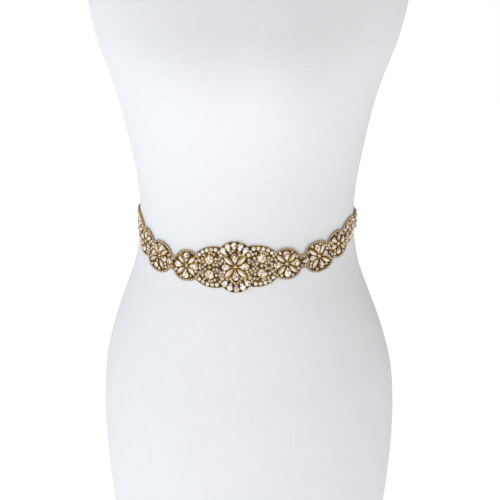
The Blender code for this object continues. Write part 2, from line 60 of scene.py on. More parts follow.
# Torso, as in the part: height over the waist, half width, depth to the front and to the back, in mm
WAIST_HEIGHT = 360.0 * MM
BASE_ROUNDING = 5.0 * MM
NECK_ROUNDING = 4.0 * MM
BUST_HEIGHT = 168.0 * MM
BUST_OFFSET = 66.0 * MM
BUST_SPREAD = 50.0 * MM
BUST_RISE = 19.0 * MM
TORSO_SECTIONS = (
    (-360, 156.0, 100.0, 112.0),
    (-310, 162.5, 101.0, 119.0),
    (-257, 167.0, 103.0, 126.0),
    (-210, 167.5, 104.0, 128.0),
    (-163, 163.5, 102.0, 122.0),
    (-117, 151.6, 99.0, 110.0),
    (-82, 139.0, 96.0, 100.0),
    (-45, 126.0, 91.0, 92.0),
    (0, 119.5, 88.0, 88.0),
    (45, 122.0, 90.0, 88.0),
    (90, 130.0, 96.0, 90.0),
    (130, 138.5, 104.0, 94.0),
    (165, 149.0, 109.0, 97.0),
    (200, 162.5, 109.0, 101.0),
    (240, 173.0, 101.0, 105.0),
    (275, 176.0, 90.0, 107.0),
    (305, 175.0, 80.0, 106.0),
    (332, 168.0, 72.0, 101.0),
    (350, 150.0, 66.0, 94.0),
    (363, 118.0, 60.0, 82.0),
    (375, 90.0, 56.0, 70.0),
    (390, 69.0, 54.0, 60.0),
    (410, 59.0, 53.0, 54.0),
    (430, 56.0, 52.0, 52.0),
)
TORSO_TOP = WAIST_HEIGHT + TORSO_SECTIONS[-1][0] * MM
FORM_SEGMENTS = 160
FORM_STEP = 5.0 * MM
RIM_STEPS = 5
# Angle between two faces past which the form's shading is sharp
FORM_SHARP = math.radians(50)
# Radius that the linen's drawing is wrapped on
FORM_RADIUS = 140.0 * MM

# Line of the sash round the torso, as in the part
SASH_HEIGHT = WAIST_HEIGHT + 4.5 * MM
SASH_DIP = 34.4 * MM
SASH_DIP_POWER = 5.6
SASH_TILT = 7.8 * MM
SASH_STEPS = 720
# Turn in radians over which a slope is measured
NUDGE = 0.005

# Thicknesses and clearances of the part, and of the fine cloth here
GAP = 0.3 * MM
CLEAR = 0.5 * MM
NET_THICKNESS = 1.0 * MM
SATIN_THICKNESS = 1.0 * MM
FINE_NET = 0.8 * MM
FINE_SATIN = 0.5 * MM
RIBBON_WIDTH = 25.0 * MM

# Scallops of the applique's edge: middle, half length, half height and power, in mm
SCALLOPS = (
    (0.0, 22.0, 27.8, 2.1),
    (22.0, 27.0, 22.4, 2.1),
    (55.0, 16.2, 16.6, 2.2),
    (74.5, 12.0, 7.4, 3.0),
    (92.5, 17.5, 16.4, 2.4),
    (121.0, 15.0, 14.0, 2.4),
    (147.0, 16.0, 12.0, 2.4),
    (176.0, 22.0, 9.0, 2.2),
)

# Motifs from the middle, with the seam after each: u at its edges and u at its middle, in mm
MOTIFS = (
    ("medallion", 16.0, 18.2),
    ("panel", 43.5, 39.3),
    ("flower", 70.4, 70.4),
    ("link", 80.8, 80.8),
    ("blossom", 108.4, 108.4),
    ("spray", 133.3, 133.3),
    ("leaf", 160.5, 160.5),
    ("end", 198.0, 198.0),
)
SASH_END = MOTIFS[-1][1] * MM
# Spacing of the outline's corners along the edge and along a seam, and how sharply a seam bends
EDGE_STEP = 1.2 * MM
SEAM_STEP = 2.0 * MM
SEAM_POWER = 3
# Spots at which the edge is measured: along a motif, along half the sash and along a row of edging
EDGE_SAMPLES = 400
EDGE_SPOTS = 1500
ROW_SPOTS = 3000
# Spacing of the net's inner corners, their distance from its outline, and where two corners are one
GROUND_STEP = 1.9 * MM
GROUND_MARGIN = 0.6 * MM
GROUND_MERGE = 0.0001 * MM

# Flowers: motif, middle u, pear length and width, marquise length and width, in mm, petals, and how
# much longer an upright petal is, as a share
FLOWERS = (
    ("medallion", 0.0, 11.4, 7.2, 13.0, 5.4, 8, 0.0),
    ("flower", 55.0, 11.0, 7.2, 11.0, 5.0, 8, 0.0),
    ("blossom", 92.5, 8.0, 6.2, 9.8, 4.6, 8, 0.3),
    ("spray", 121.0, 8.0, 5.6, 8.0, 4.8, 6, 0.0),
    ("leaf", 147.0, 7.6, 5.0, 7.6, 4.4, 6, 0.0),
)
FLOWER_MIDDLE = 3.8 * MM
PETAL_START = 3.3 * MM

# Fan of pears over and under the medallion: turn in degrees, distance from the middle in mm
FAN = (
    (56, 20.6),
    (73, 21.8),
    (90, 22.3),
    (107, 21.8),
    (124, 20.6),
)
FAN_PEAR = (9.6, 6.2)

# Single stones: motif, kind, u, v, length, width in mm, turn of the tip in degrees
# Each is set above the middle line and again below it, unless its v is 0.
STONES = (
    ("medallion", "round", 14.8, 12.4, 4.4, 4.4, 0),
    ("medallion", "round", -14.8, 12.4, 4.4, 4.4, 0),
    ("panel", "round", 28.3, 8.4, 10.0, 10.0, 0),
    ("panel", "pearl", 20.6, 19.0, 4.6, 4.6, 0),
    ("panel", "round", 25.6, 19.1, 4.4, 4.4, 0),
    ("panel", "pearl", 30.8, 18.3, 4.6, 4.6, 0),
    ("panel", "round", 35.6, 16.4, 4.4, 4.4, 0),
    ("panel", "pearl", 39.6, 13.4, 4.2, 4.2, 0),
    ("link", "pear", 75.9, 0.0, 8.8, 6.2, 180),
    ("end", "marquise", 167.5, 3.7, 9.0, 4.0, 20),
    ("end", "marquise", 177.5, 3.5, 9.0, 4.0, 16),
    ("end", "marquise", 186.6, 2.8, 7.6, 3.6, 10),
    ("end", "round", 193.2, 0.0, 3.6, 3.6, 0),
)

# Small round stones sewn between the large ones: motif, u, v, width in mm, above and below
SMALL_STONES = (
    ("panel", 35.9, 8.6, 3.6),
    ("panel", 34.0, 13.0, 3.2),
    ("panel", 28.3, 15.4, 2.8),
    ("panel", 22.6, 13.8, 3.2),
    ("panel", 20.8, 8.8, 3.4),
    ("panel", 23.4, 2.8, 3.4),
    ("panel", 33.2, 2.8, 3.4),
    ("panel", 28.3, 0.0, 3.8),
    ("panel", 41.2, 9.8, 2.8),
    ("panel", 39.0, 1.6, 3.0),
    ("medallion", 9.4, 13.2, 3.4),
    ("medallion", -9.4, 13.2, 3.4),
    ("medallion", 4.2, 15.4, 2.6),
    ("medallion", -4.2, 15.4, 2.6),
    ("medallion", 12.6, 17.4, 3.0),
    ("medallion", -12.6, 17.4, 3.0),
)

# Places where the net is left bare: u, v and radius in mm, on both sides, above and below
BARE_NET = (
    (18.3, 4.6, 2.3),
    (22.0, 5.6, 1.3),
    (41.4, 6.4, 2.0),
    (37.4, 4.6, 1.5),
    (71.6, 4.5, 1.9),
    (78.4, 4.5, 1.5),
    (64.6, 9.6, 1.5),
    (107.4, 3.4, 1.5),
    (133.0, 3.0, 1.4),
)
# How far a bare place fades into the painted shade on the rest of the net
BARE_FADE = 0.9 * MM

# Heights of a stone: its rise as a share of its width, and the most that it rises
STONE_RISE = 0.52
STONE_RISE_MOST = 3.8 * MM
# Round stones wider than this have more facets
LARGE_ROUND = 4.2 * MM
# How far a setting reaches past its stone
CUP_MARGIN = 0.42 * MM

# Forms of the stones at a width and rise of 1: their sides, how full a pear is, how blunt a marquise
# is, their straight girdle, and then each level's rise and how far it is drawn in
SIDES = {"round": 8, "large": 14, "pear": 16, "marquise": 16}
PEAR_FULLNESS = 1.3
MARQUISE_POINT = 0.3
GIRDLE = 0.48
BRILLIANT_LEVELS = ((1.0 - GIRDLE, 0.62),)
PEAR_LEVELS = ((0.22, 0.88), (1.0 - GIRDLE - 0.22, 0.70))
MARQUISE_LEVELS = ((0.24, 0.88), (0.18, 0.66))
MARQUISE_DOME = 0.08
# Faces of a stone flatter than this, by the upright part of their normal, belong to its crown
CROWN_SLOPE = 0.25

# Forms of the settings in the same way: the cup's wall, rim and inner depth, and then the claws'
# sides, radius at the foot and at the tip, length, height of the middle and reach from the cup's middle
CUP_WALL = 0.56
CUP_RIM = 0.05
CUP_DEPTH = 0.14
CLAW_SIDES = 5
CLAW_FOOT = 0.085
CLAW_TIP = 0.05
CLAW_LENGTH = 0.5
CLAW_HEIGHT = 0.62
CLAW_REACH = 0.94
# Turns of the claws round a setting, in degrees from the stone's tip
CLAWS = {
    "round": (45, 135, 225, 315),
    "large": (30, 90, 150, 210, 270, 330),
    "pear": (0, 110, 250),
    "marquise": (0, 180),
}

# Balls: segments, rings, and height as a share of the width
BALLS = {"pearl": (12, 7, 0.92), "bead": (8, 5, 0.86)}
# Steps from the middle of a long stone to its end by which its place is blocked
BLOCK_STEPS = 5

# Edge chain of small stones in cups: where it starts, how far it lies in from the net's edge, and the
# stones' width and spacing
CHAIN_FROM = 43.0 * MM
CHAIN_INSET = 0.6 * MM
CHAIN_STONE = 1.9 * MM
CHAIN_PITCH = 2.9 * MM
# Gold beads along the edge of the middle motifs: the same, and the room that one needs
RIM_INSET = 0.45 * MM
RIM_BEAD = 1.5 * MM
RIM_PITCH = 1.6 * MM
RIM_ROOM = 0.15 * MM
# Share of its inset that a row keeps to where the edge bends inwards
ROW_KEEPS = 0.985
# Gold cord sewn along the net's edge
EDGE_CORD = 0.3 * MM
# Sizes of what fills the net between the stones, largest first: kind and width
FILLING = (
    ("round", 3.2 * MM),
    ("round", 2.5 * MM),
    ("bead", 1.9 * MM),
    ("bead", 1.3 * MM),
)
# Spacing of the places that are tried, and the space that is left round a piece
FILL_STEP = 0.6 * MM
FILL_SPACE = 0.15 * MM
# Least distance of a filling piece's middle from the net's edge, as a share of its width
FILL_EDGE = 0.4
# Shares of the small stones that are pearls, and of the places that stay empty
FILL_PEARL_SHARE = 0.05
FILL_BARE_SHARE = 0.02
# Share of the net's patches that hold gold beads in place of small stones, and the width of a patch
FILL_GOLD_SHARE = 0.3
FILL_PATCH = 3.6 * MM
# Distance from the middle line past which the medallion's pears are clear
FAN_FROM = 14.0 * MM

# Numbers that keep the random draws apart, and the room in the keys for one motif's pieces
SPIN_DRAW = 1
GOLD_DRAW = 3
TONE_DRAW = 5
SIDE_DRAW = 6
FACET_DRAW = 7
EMPTY_DRAW = 11
PEARL_DRAW = 13
MOTIF_KEYS = 5000

# Ribbon under the applique's ends, and its pinch at the knot
RIBBON_START = 178.0 * MM
RIBBON_STEP = 2.5 * MM
RIBBON_ACROSS = 24
END_LIFT_FROM = 158.0 * MM
END_LIFT_TO = 174.0 * MM
PINCH_LENGTH = 24.0 * MM
PINCH_STEPS = 20
PINCH_HALF = 4.5 * MM
PINCH_LIFT = 0.8 * MM
PINCH_WAVE = 0.5 * MM
GATHERS = 3
TUCK = 1.4 * MM

# Knot
KNOT_HALF_WIDTH = 10.0 * MM
KNOT_HALF_HEIGHT = 8.0 * MM
KNOT_HALF_DEPTH = 6.2 * MM
KNOT_END_SCALE = 0.66
KNOT_CREASE = 0.45 * MM
KNOT_CREASES = 2.5
KNOT_POWER = 2.6
KNOT_RINGS = 44
KNOT_SIDES = 72

# Loops: name, side, length in mm, droop in degrees
LOOPS = (
    ("loop_left", -1, 106.0, 38.7),
    ("loop_right", 1, 107.0, 33.3),
)
LOOP_ROOT_DROP = 1.0 * MM
LOOP_ROOT_HALF = 5.5 * MM
LOOP_ROOT_LIFT = 4.6 * MM
LOOP_END_LIFT = 5.0 * MM
LOOP_ROOT_LAYERS = 3.6 * MM
LOOP_END_LAYERS = 5.0 * MM
LOOP_PUFF = 2.2 * MM
LOOP_SPREAD = 0.28
LOOP_WAVE = 0.5 * MM
LOOP_STEPS = 46
LOOP_FOLD_STEPS = 16
LOOP_SKEW = 2.5 * MM

# Tails: outer edge and inner edge, each as its distance to the tail's side and its drop, then the
# outer lift and inner lift, in mm
TAIL_LEFT = (
    (10.6, 5.8, 1.8, 8.6, 10.6, 8.4),
    (13.6, 14.5, 0.6, 17.0, 11.0, 11.0),
    (17.2, 24.0, -1.4, 27.0, 9.8, 12.0),
    (20.4, 34.5, -3.0, 36.5, 7.8, 11.6),
    (22.8, 47.0, 1.4, 46.5, 5.8, 12.4),
    (24.8, 62.0, 5.6, 60.0, 4.4, 12.6),
    (26.4, 80.0, 7.6, 78.0, 3.8, 11.6),
    (28.4, 102.0, 8.6, 101.0, 3.4, 9.8),
    (30.8, 130.0, 8.8, 130.0, 3.2, 7.4),
    (33.6, 170.0, 9.8, 170.0, 3.0, 4.8),
    (36.4, 215.0, 12.0, 215.0, 3.0, 3.4),
    (38.6, 262.0, 14.0, 268.0, 4.0, 4.4),
)
TAIL_RIGHT = (
    (14.0, 3.5, 2.0, 8.6, 11.6, 8.4),
    (18.0, 11.0, 1.4, 15.0, 12.4, 10.4),
    (21.5, 20.0, 2.6, 24.0, 12.3, 10.0),
    (24.2, 29.5, 4.8, 34.0, 11.2, 7.6),
    (27.2, 41.0, 7.6, 44.0, 8.4, 5.6),
    (30.0, 55.0, 10.0, 56.5, 5.8, 4.6),
    (33.4, 75.0, 12.4, 75.5, 4.2, 4.0),
    (37.0, 100.0, 14.6, 100.0, 3.6, 3.6),
    (40.5, 130.0, 16.9, 130.0, 3.2, 3.2),
    (44.0, 170.0, 19.6, 170.0, 3.0, 3.0),
    (47.4, 215.0, 22.8, 215.0, 3.0, 3.0),
    (50.0, 272.0, 25.2, 266.0, 4.4, 4.0),
)
TAIL_ACROSS = 20
TAIL_BOW = 0.7 * MM
TAIL_SUBSTEPS = 10

# Soft creases: place across from -1 to 1, its drift along the strip, width, depth in mm
# They fade in or out at a share of the strip's length and over a share of it.
RIBBON_CREASES = ((-0.45, 0.25, 0.16, 0.35), (0.10, -0.20, 0.14, 0.45), (0.55, 0.10, 0.12, 0.30))
LOOP_CREASES = ((-0.50, 0.30, 0.15, 0.7), (0.05, -0.25, 0.13, 0.8), (0.50, 0.25, 0.12, 0.5))
TAIL_CREASES = ((-0.35, 0.45, 0.16, 0.7), (0.30, -0.30, 0.14, 0.6))
RIBBON_CREASE_FROM = 0.45
RIBBON_CREASE_OVER = 0.5
PINCH_CREASE_LOSS = 0.6
LOOP_CREASE_RISE = 0.12
LOOP_CREASE_FROM = 0.2
LOOP_CREASE_OVER = 0.5
TAIL_CREASE_OVER = 0.45
TAIL_CREASE_DRIFT = 3

# Folds of the knot: place along it, slant, width, and depth in mm
# Its top fold has a rise, a place along it and a width.
KNOT_FOLDS = ((-0.52, 0.22, 0.10, 0.9), (-0.05, 0.30, 0.08, 1.1), (0.42, 0.18, 0.10, 0.8))
KNOT_PEAK = 1.3 * MM
KNOT_PEAK_PLACE = 0.12
KNOT_PEAK_WIDTH = 0.3

# Spacing of the linen's threads, of the satin's floats and of the net's mesh, and the selvedge's width
LINEN_THREAD = 0.75 * MM
SATIN_FLOAT = 0.45 * MM
NET_MESH = 1.15 * MM
SELVEDGE = 0.9 * MM
# Length along the sash over which the net's ground, with its painted shade, turns pale towards the ends,
# and how pale it turns
PALE_FROM = 115.0 * MM
PALE_TO = 160.0 * MM
PALE_MOST = 0.7

# Patches a metre in each finish's mottling: a thread's slubs and a ribbon's streaks have their count
# along them and their count across them
LINEN_SLUBS = (40.0, 900.0)
SATIN_STREAKS = (60.0, 1500.0)
LINEN_CLOUD = 9.0
SATIN_CLOUD = 22.0
NET_CLOUD = 300.0
CRYSTAL_GLINT = 900.0
GOLD_PATINA = 700.0
PEARL_CLOUD = 260.0
FLOOR_CLOUD = 3.0
# Relief of each finish: the strength of its bump and its height
LINEN_RELIEF = (0.35, 0.12 * MM)
SATIN_RELIEF = (0.3, 0.08 * MM)
NET_RELIEF = (0.5, 0.1 * MM)
GOLD_RELIEF = (0.15, 0.05 * MM)

# Colours
GOLD_COLOUR = (0.97, 0.58, 0.03)
# Painted shade of the gold low in its settings and beads
GOLD_SHADE = (0.07, 0.026, 0.003)
LINEN_LIGHT = (0.84, 0.855, 0.89)
LINEN_DARK = (0.76, 0.775, 0.81)
SATIN_LIGHT = (0.98, 0.965, 0.995)
SATIN_DARK = (0.87, 0.855, 0.92)
NET_BARE = (0.66, 0.56, 0.57)
# Painted shade of the net between the stones
NET_PAINTED_SHADE = (0.06, 0.025, 0.007)
# Painted reflections on the facets of a large stone: share of the facets and colour
FACETS = (
    (0.36, (0.96, 0.94, 0.91)),
    (0.14, (0.78, 0.71, 0.70)),
    (0.20, (0.72, 0.52, 0.27)),
    (0.17, (0.32, 0.17, 0.05)),
    (0.13, (0.035, 0.02, 0.012)),
)
# The same for a clear pear of the fans
CLEAR_FACETS = (
    (0.50, (0.97, 0.96, 0.95)),
    (0.20, (0.80, 0.76, 0.76)),
    (0.10, (0.66, 0.52, 0.34)),
    (0.08, (0.30, 0.18, 0.07)),
    (0.12, (0.03, 0.02, 0.015)),
)
# The same for a small stone
CHIP_FACETS = (
    (0.36, (0.96, 0.91, 0.83)),
    (0.12, (0.80, 0.69, 0.62)),
    (0.20, (0.76, 0.53, 0.20)),
    (0.19, (0.34, 0.18, 0.04)),
    (0.13, (0.05, 0.03, 0.015)),
)
# Painted highlight of a glint, and painted shade on a stone's steep sides
GLINT_COLOUR = (0.97, 0.95, 0.93)
GIRDLE_COLOUR = (0.30, 0.17, 0.05)
PEARL_LIGHT = (0.92, 0.88, 0.82)
PEARL_DARK = (0.80, 0.70, 0.58)
# Champagne stone: its own colour, and the painted shade at its rim and down one side
OPAL_LIGHT = (1.0, 0.92, 0.80)
OPAL_DARK = (0.32, 0.17, 0.05)
FLOOR_LIGHT = (0.72, 0.72, 0.72)
FLOOR_DARK = (0.68, 0.68, 0.68)
# Least shade of a facet or setting and how much more it may get, and the same for how light a pearl
# and a champagne stone are
SHADE_LEAST, SHADE_SPREAD = 0.85, 0.3
PEARL_LEAST, PEARL_SPREAD = 0.55, 0.45
OPAL_LEAST, OPAL_SPREAD = 0.8, 0.2
# Painted shade on gold and champagne stones: how fast they brighten with height, from what depth, and to
# one side
GOLD_CLIMB, GOLD_FOOT = 2.3, 0.25
OPAL_CLIMB, OPAL_FOOT, OPAL_ASIDE = 1.3, 0.34, 1.1

# Studio: floor, the surround that lights the piece, and each lamp's name, place, aim, size, power, colour
FLOOR_RADIUS = 12.0
FLOOR_SIDES = 96
WHITE = (1.0, 1.0, 1.0, 1.0)
SURROUND_COLOUR = (1.0, 0.985, 0.96, 1.0)
SURROUND_POWER = 0.27
LAMPS = (
    ("key", (-2.5, -1.5, 1.0), (0, 0, 0.32), 1.8, 27.0, (0.92, 0.96, 1.0)),
    ("front", (0.7, -1.8, 1.6), (0, 0, 0.30), 1.0, 13.0, (1.0, 0.98, 0.95)),
    ("back", (-0.9, 2.2, 1.2), (0, 0, 0.34), 1.2, 9.5, (1.0, 0.98, 0.96)),
)


def smooth(t):
    """Ease from 0 to 1 as t goes from 0 to 1."""
    t = min(max(t, 0.0), 1.0)
    return t * t * (3.0 - 2.0 * t)


def chance(*keys):
    """A steady number from 0 to 1 for whole-number keys."""
    value = 0x9E3779B9
    for key in keys:
        value = ((value ^ (int(key) & 0xFFFFFFFF)) * 0x45D9F3B) & 0xFFFFFFFF
        value ^= value >> 15
    value = (value * 0x2C1B3C6D) & 0xFFFFFFFF
    return (value ^ (value >> 13)) / 0x100000000


def spline_row(rows, key):
    """A row between rows of a table that climb in their first column, on a smooth curve."""
    i = min(max(bisect([row[0] for row in rows], key), 1), len(rows) - 1)
    low, high = rows[i - 1], rows[i]
    before, after = rows[max(i - 2, 0)], rows[min(i + 1, len(rows) - 1)]
    span = high[0] - low[0]
    t = (key - low[0]) / span
    values = []
    for column in range(1, len(low)):
        slope_low = (high[column] - before[column]) / (high[0] - before[0]) * span
        slope_high = (after[column] - low[column]) / (after[0] - low[0]) * span
        values.append(
            low[column] * (1 + 2 * t) * (1 - t) ** 2
            + slope_low * t * (1 - t) ** 2
            + high[column] * t * t * (3 - 2 * t)
            + slope_high * t * t * (t - 1)
        )
    return values


def torso_section(z):
    """Half width, middle y and half depth of the torso at a height."""
    half_width, front, back = spline_row(TORSO_SECTIONS, (z - WAIST_HEIGHT) / MM)
    return half_width * MM, (back - front) / 2 * MM, (back + front) / 2 * MM


def torso_surface(turn, z):
    """Point of the torso at a turn from the front towards +X."""
    half_width, middle, half_depth = torso_section(z)
    x = half_width * math.sin(turn)
    y = middle - half_depth * math.cos(turn)
    up = (z - WAIST_HEIGHT - BUST_HEIGHT) / BUST_SPREAD
    for side in (-1, 1):
        aside = (x - side * BUST_OFFSET) / BUST_SPREAD
        y -= max(0.0, math.cos(turn)) * BUST_RISE * math.exp(-(up * up + aside * aside) / 2)
    return Vector((x, y, z))


def torso_point(turn, z, lift):
    """Point at a distance off the torso."""
    along = torso_surface(turn + NUDGE, z) - torso_surface(turn - NUDGE, z)
    upward = torso_surface(turn, z + MM) - torso_surface(turn, z - MM)
    return torso_surface(turn, z) + along.cross(upward).normalized() * lift


def back_point(x, drop, lift):
    """Point off the back of the torso, drop below the knot's middle."""
    z = SASH_HEIGHT - drop
    return torso_point(math.pi - math.asin(x / torso_section(z)[0]), z, lift)


def sash_line(turn):
    """Point of the sash's middle line, which dips at the front and is a little higher at its right."""
    drop = 0.0
    if math.cos(turn) > 0:
        drop = SASH_DIP * (1 - abs(math.sin(turn)) ** SASH_DIP_POWER)
        drop -= SASH_TILT * math.sin(turn) * math.cos(turn) ** 2
    return torso_surface(turn, SASH_HEIGHT - drop)


def sash_lengths(side):
    """Lengths and turns along the sash's middle line, from its middle to the back of the torso."""
    lengths, turns = [0.0], [0.0]
    step = side * math.pi / SASH_STEPS
    for _ in range(SASH_STEPS):
        turns.append(turns[-1] + step)
        lengths.append(lengths[-1] + (sash_line(turns[-1]) - sash_line(turns[-2])).length)
    return lengths, turns


SASH_SIDES = {side: sash_lengths(side) for side in (-1, 1)}


def sash_point(u, v, lift):
    """Point of the flat drawing, laid on the torso."""
    lengths, turns = SASH_SIDES[1 if u >= 0 else -1]
    i = min(max(bisect(lengths, abs(u)), 1), SASH_STEPS)
    part = (abs(u) - lengths[i - 1]) / (lengths[i] - lengths[i - 1])
    turn = turns[i - 1] + (turns[i] - turns[i - 1]) * part
    along = (sash_line(turn + NUDGE) - sash_line(turn - NUDGE)).normalized()
    foot = sash_line(turn)
    outward = (torso_point(turn, foot.z, MM) - foot).normalized()
    target = foot + outward.cross(along).normalized() * v
    half_width, middle, half_depth = torso_section(target.z)
    turn = math.atan2(target.x / half_width, (middle - target.y) / half_depth)
    return torso_point(turn, target.z, lift)


def inner_lift(u):
    """Distance from the torso to the inside of the applique, which climbs over the ribbon's end."""
    over = CLEAR + SATIN_THICKNESS + GAP
    part = (abs(u) - END_LIFT_FROM) / (END_LIFT_TO - END_LIFT_FROM)
    return CLEAR + (over - CLEAR) * smooth(part)


def edge_height(u):
    """Half height of the applique at a length along it."""
    most = 0.0
    for middle, half_length, half_height, power in SCALLOPS:
        part = abs(abs(u) / MM - middle) / half_length
        if part < 1.0:
            most = max(most, half_height * MM * (1 - part**power) ** (1 / power))
    return most


def edge_run(start, end):
    """Points of the applique's top edge, EDGE_STEP apart, from start to end."""
    places = [start + (end - start) * i / EDGE_SAMPLES for i in range(EDGE_SAMPLES + 1)]
    fine = [Vector((u, edge_height(u))) for u in places]
    lengths = [0.0]
    for before, after in zip(fine, fine[1:]):
        lengths.append(lengths[-1] + (after - before).length)
    steps = max(2, round(lengths[-1] / EDGE_STEP))
    return [fine[bisect(lengths, lengths[-1] * i / steps) - 1] for i in range(steps)] + [fine[-1]]


def seam_run(edge_u, middle_u, shift):
    """Points between the ends of a seam, from its foot to its top."""
    top = edge_height(edge_u + shift)
    steps = max(2, round(2 * top / SEAM_STEP))
    parts = [2 * i / steps - 1 for i in range(1, steps)]
    return [
        Vector((middle_u + (edge_u - middle_u) * abs(part) ** SEAM_POWER + shift, top * part))
        for part in parts
    ]


def motif_outline(index):
    """Outline of a motif right of the middle, or of the medallion, anticlockwise."""
    _, edge_after, middle_after = MOTIFS[index]
    last = index == len(MOTIFS) - 1
    after = [] if last else seam_run(edge_after * MM, middle_after * MM, -GAP / 2)
    end = edge_after * MM - (0.0 if last else GAP / 2)
    if index == 0:
        start = -end
        before = [Vector((-point.x, point.y)) for point in after]
    else:
        _, edge_before, middle_before = MOTIFS[index - 1]
        start = edge_before * MM + GAP / 2
        before = seam_run(edge_before * MM, middle_before * MM, GAP / 2)
    top = edge_run(start, end)
    foot = [Vector((point.x, -point.y)) for point in top]
    if last:
        foot = foot[:-1]
    return foot + after + top[::-1] + before[::-1]


def motif_stones(name):
    """Large stones of a motif: kind, middle, length, width and turn of the tip."""
    stones = []
    for motif, u, pear_length, pear_width, leaf_length, leaf_width, petals, tall in FLOWERS:
        if motif != name:
            continue
        stones.append(("round", Vector((u * MM, 0.0)), FLOWER_MIDDLE, FLOWER_MIDDLE, 0.0))
        for i in range(petals):
            turn = 2 * math.pi * i / petals
            kind, length, width = (
                ("marquise", leaf_length, leaf_width) if i % 2 else ("pear", pear_length, pear_width)
            )
            length *= 1 + tall * math.sin(turn) ** 2
            reach = PETAL_START + length / 2 * MM
            middle = Vector((u * MM + reach * math.cos(turn), reach * math.sin(turn)))
            stones.append((kind, middle, length * MM, width * MM, turn + math.pi))
    if name == "medallion":
        for degrees, reach in FAN:
            for side in (-1, 1):
                turn = side * math.radians(degrees)
                middle = Vector((math.cos(turn), math.sin(turn))) * reach * MM
                stones.append(("pear", middle, FAN_PEAR[0] * MM, FAN_PEAR[1] * MM, turn + math.pi))
    small = tuple((motif, "round", u, v, width, width, 0) for motif, u, v, width in SMALL_STONES)
    for motif, kind, u, v, length, width, degrees in STONES + small:
        for side in (-1, 1) if v else (1,):
            if motif == name:
                middle = Vector((u, side * v)) * MM
                stones.append((kind, middle, length * MM, width * MM, side * math.radians(degrees)))
    return stones


def inside(point, ring):
    """Whether a flat point is inside a ring of points."""
    odd = False
    for a, b in zip(ring, ring[1:] + ring[:1]):
        if (a.y > point.y) != (b.y > point.y):
            if point.x < a.x + (b.x - a.x) * (point.y - a.y) / (b.y - a.y):
                odd = not odd
    return odd


def flat_area(ring):
    """Area inside a ring of flat points."""
    return abs(sum(a.x * b.y - b.x * a.y for a, b in zip(ring, ring[1:] + ring[:1]))) / 2


# Camera

def set_camera():
    """The camera, in front of the sash, a little above it and a little to its right."""
    level = math.cos(VIEW_ELEVATION)
    away = (math.sin(VIEW_TURN) * level, -math.cos(VIEW_TURN) * level, math.sin(VIEW_ELEVATION))
    back = Vector(away)
    data = bpy.data.cameras.new("camera")
    data.lens = VIEW_LENS
    data.sensor_width = SENSOR_WIDTH
    camera = bpy.data.objects.new("camera", data)
    camera.location = VIEW_TARGET + back * VIEW_DISTANCE
    camera.rotation_euler = (-back).to_track_quat("-Z", "Y").to_euler()
    bpy.context.scene.collection.objects.link(camera)
    bpy.context.scene.camera = camera


set_camera()


# Finishes

class Signal:
    """A socket in a finish. Arithmetic on it adds Math nodes."""

    def __init__(self, finish, socket):
        self.finish = finish
        self.socket = socket

    def math(self, operation, *values):
        """The result of a Math node on this signal and other values."""
        inputs = dict(enumerate((self, *values)))
        return self.finish.node("ShaderNodeMath", {"operation": operation}, inputs)

    def __add__(self, other):
        return self.math("ADD", other)

    def __sub__(self, other):
        return self.math("SUBTRACT", other)

    def __rsub__(self, other):
        return self.math("MULTIPLY", -1.0).math("ADD", other)

    def __mul__(self, other):
        return self.math("MULTIPLY", other)

    __radd__ = __add__
    __rmul__ = __mul__

    def clamp(self, low, high):
        """0 where this signal is under low, 1 where it is over high, and even between."""
        settings = {"clamp": True}
        return self.finish.node("ShaderNodeMapRange", settings, {0: self, 1: low, 2: high})


class Finish:
    """A material on one Principled shader."""

    def __init__(self, name, **constants):
        self.material = bpy.data.materials.new(name)
        self.material.use_nodes = True
        self.nodes = self.material.node_tree.nodes
        self.links = self.material.node_tree.links
        self.shader = self.nodes["Principled BSDF"]
        for socket, value in constants.items():
            self.shader.inputs[socket.replace("_", " ")].default_value = value

    def node(self, kind, settings, inputs, output=0):
        """A signal from one output of a new node."""
        made = self.nodes.new(kind)
        for key, value in settings.items():
            setattr(made, key, value)
        for key, value in inputs.items():
            self.feed(made.inputs[key], value)
        return Signal(self, made.outputs[output])

    def feed(self, socket, value):
        """Link a signal to a socket, or set its value."""
        if isinstance(value, Signal):
            self.links.new(value.socket, socket)
        else:
            socket.default_value = value

    def show(self, socket, value):
        """Feed one of the shader's sockets."""
        self.feed(self.shader.inputs[socket], value)

    def blend(self, low, high, factor):
        """A colour between two colours."""
        ends = [value if isinstance(value, Signal) else (*value, 1.0) for value in (low, high)]
        low_socket, high_socket, colour_output = 6, 7, 2
        inputs = {0: factor, low_socket: ends[0], high_socket: ends[1]}
        return self.node("ShaderNodeMix", {"data_type": "RGBA"}, inputs, colour_output)

    def flat_place(self):
        """The two coordinates of the piece's flat drawing, in metres."""
        drawing = self.node("ShaderNodeUVMap", {"uv_map": "flat"}, {})
        along = self.node("ShaderNodeSeparateXYZ", {}, {0: drawing}, 0)
        return along, Signal(self, along.socket.node.outputs[1])

    def place(self, x, y):
        """A vector of two coordinates."""
        return self.node("ShaderNodeCombineXYZ", {}, {0: x, 1: y})

    def noise(self, vector, scale, detail):
        """Soft random mottling from 0 to 1."""
        inputs = {"Vector": vector, "Scale": scale, "Detail": detail}
        return self.node("ShaderNodeTexNoise", {}, inputs, "Fac")

    def cloud(self, scale, detail=2.0):
        """Mottling all through a piece."""
        return self.noise(self.node("ShaderNodeTexCoord", {}, {}, "Object"), scale, detail)

    def streaks(self, x, y, scale_x, scale_y):
        """Mottling on the flat drawing, drawn out one way."""
        return self.noise(self.place(x * scale_x, y * scale_y), 1.0, 3.0)

    def carried(self, name, output="Fac"):
        """What the piece's mesh carries under a name."""
        return self.node("ShaderNodeAttribute", {"attribute_name": name}, {}, output)

    def bump(self, height, strength, distance):
        """A normal from a height."""
        inputs = {"Height": height, "Strength": strength, "Distance": distance}
        self.show("Normal", self.node("ShaderNodeBump", {}, inputs))

    def tone(self):
        """The colour that each facet, stone or bead carries."""
        return self.carried("tone", "Color")


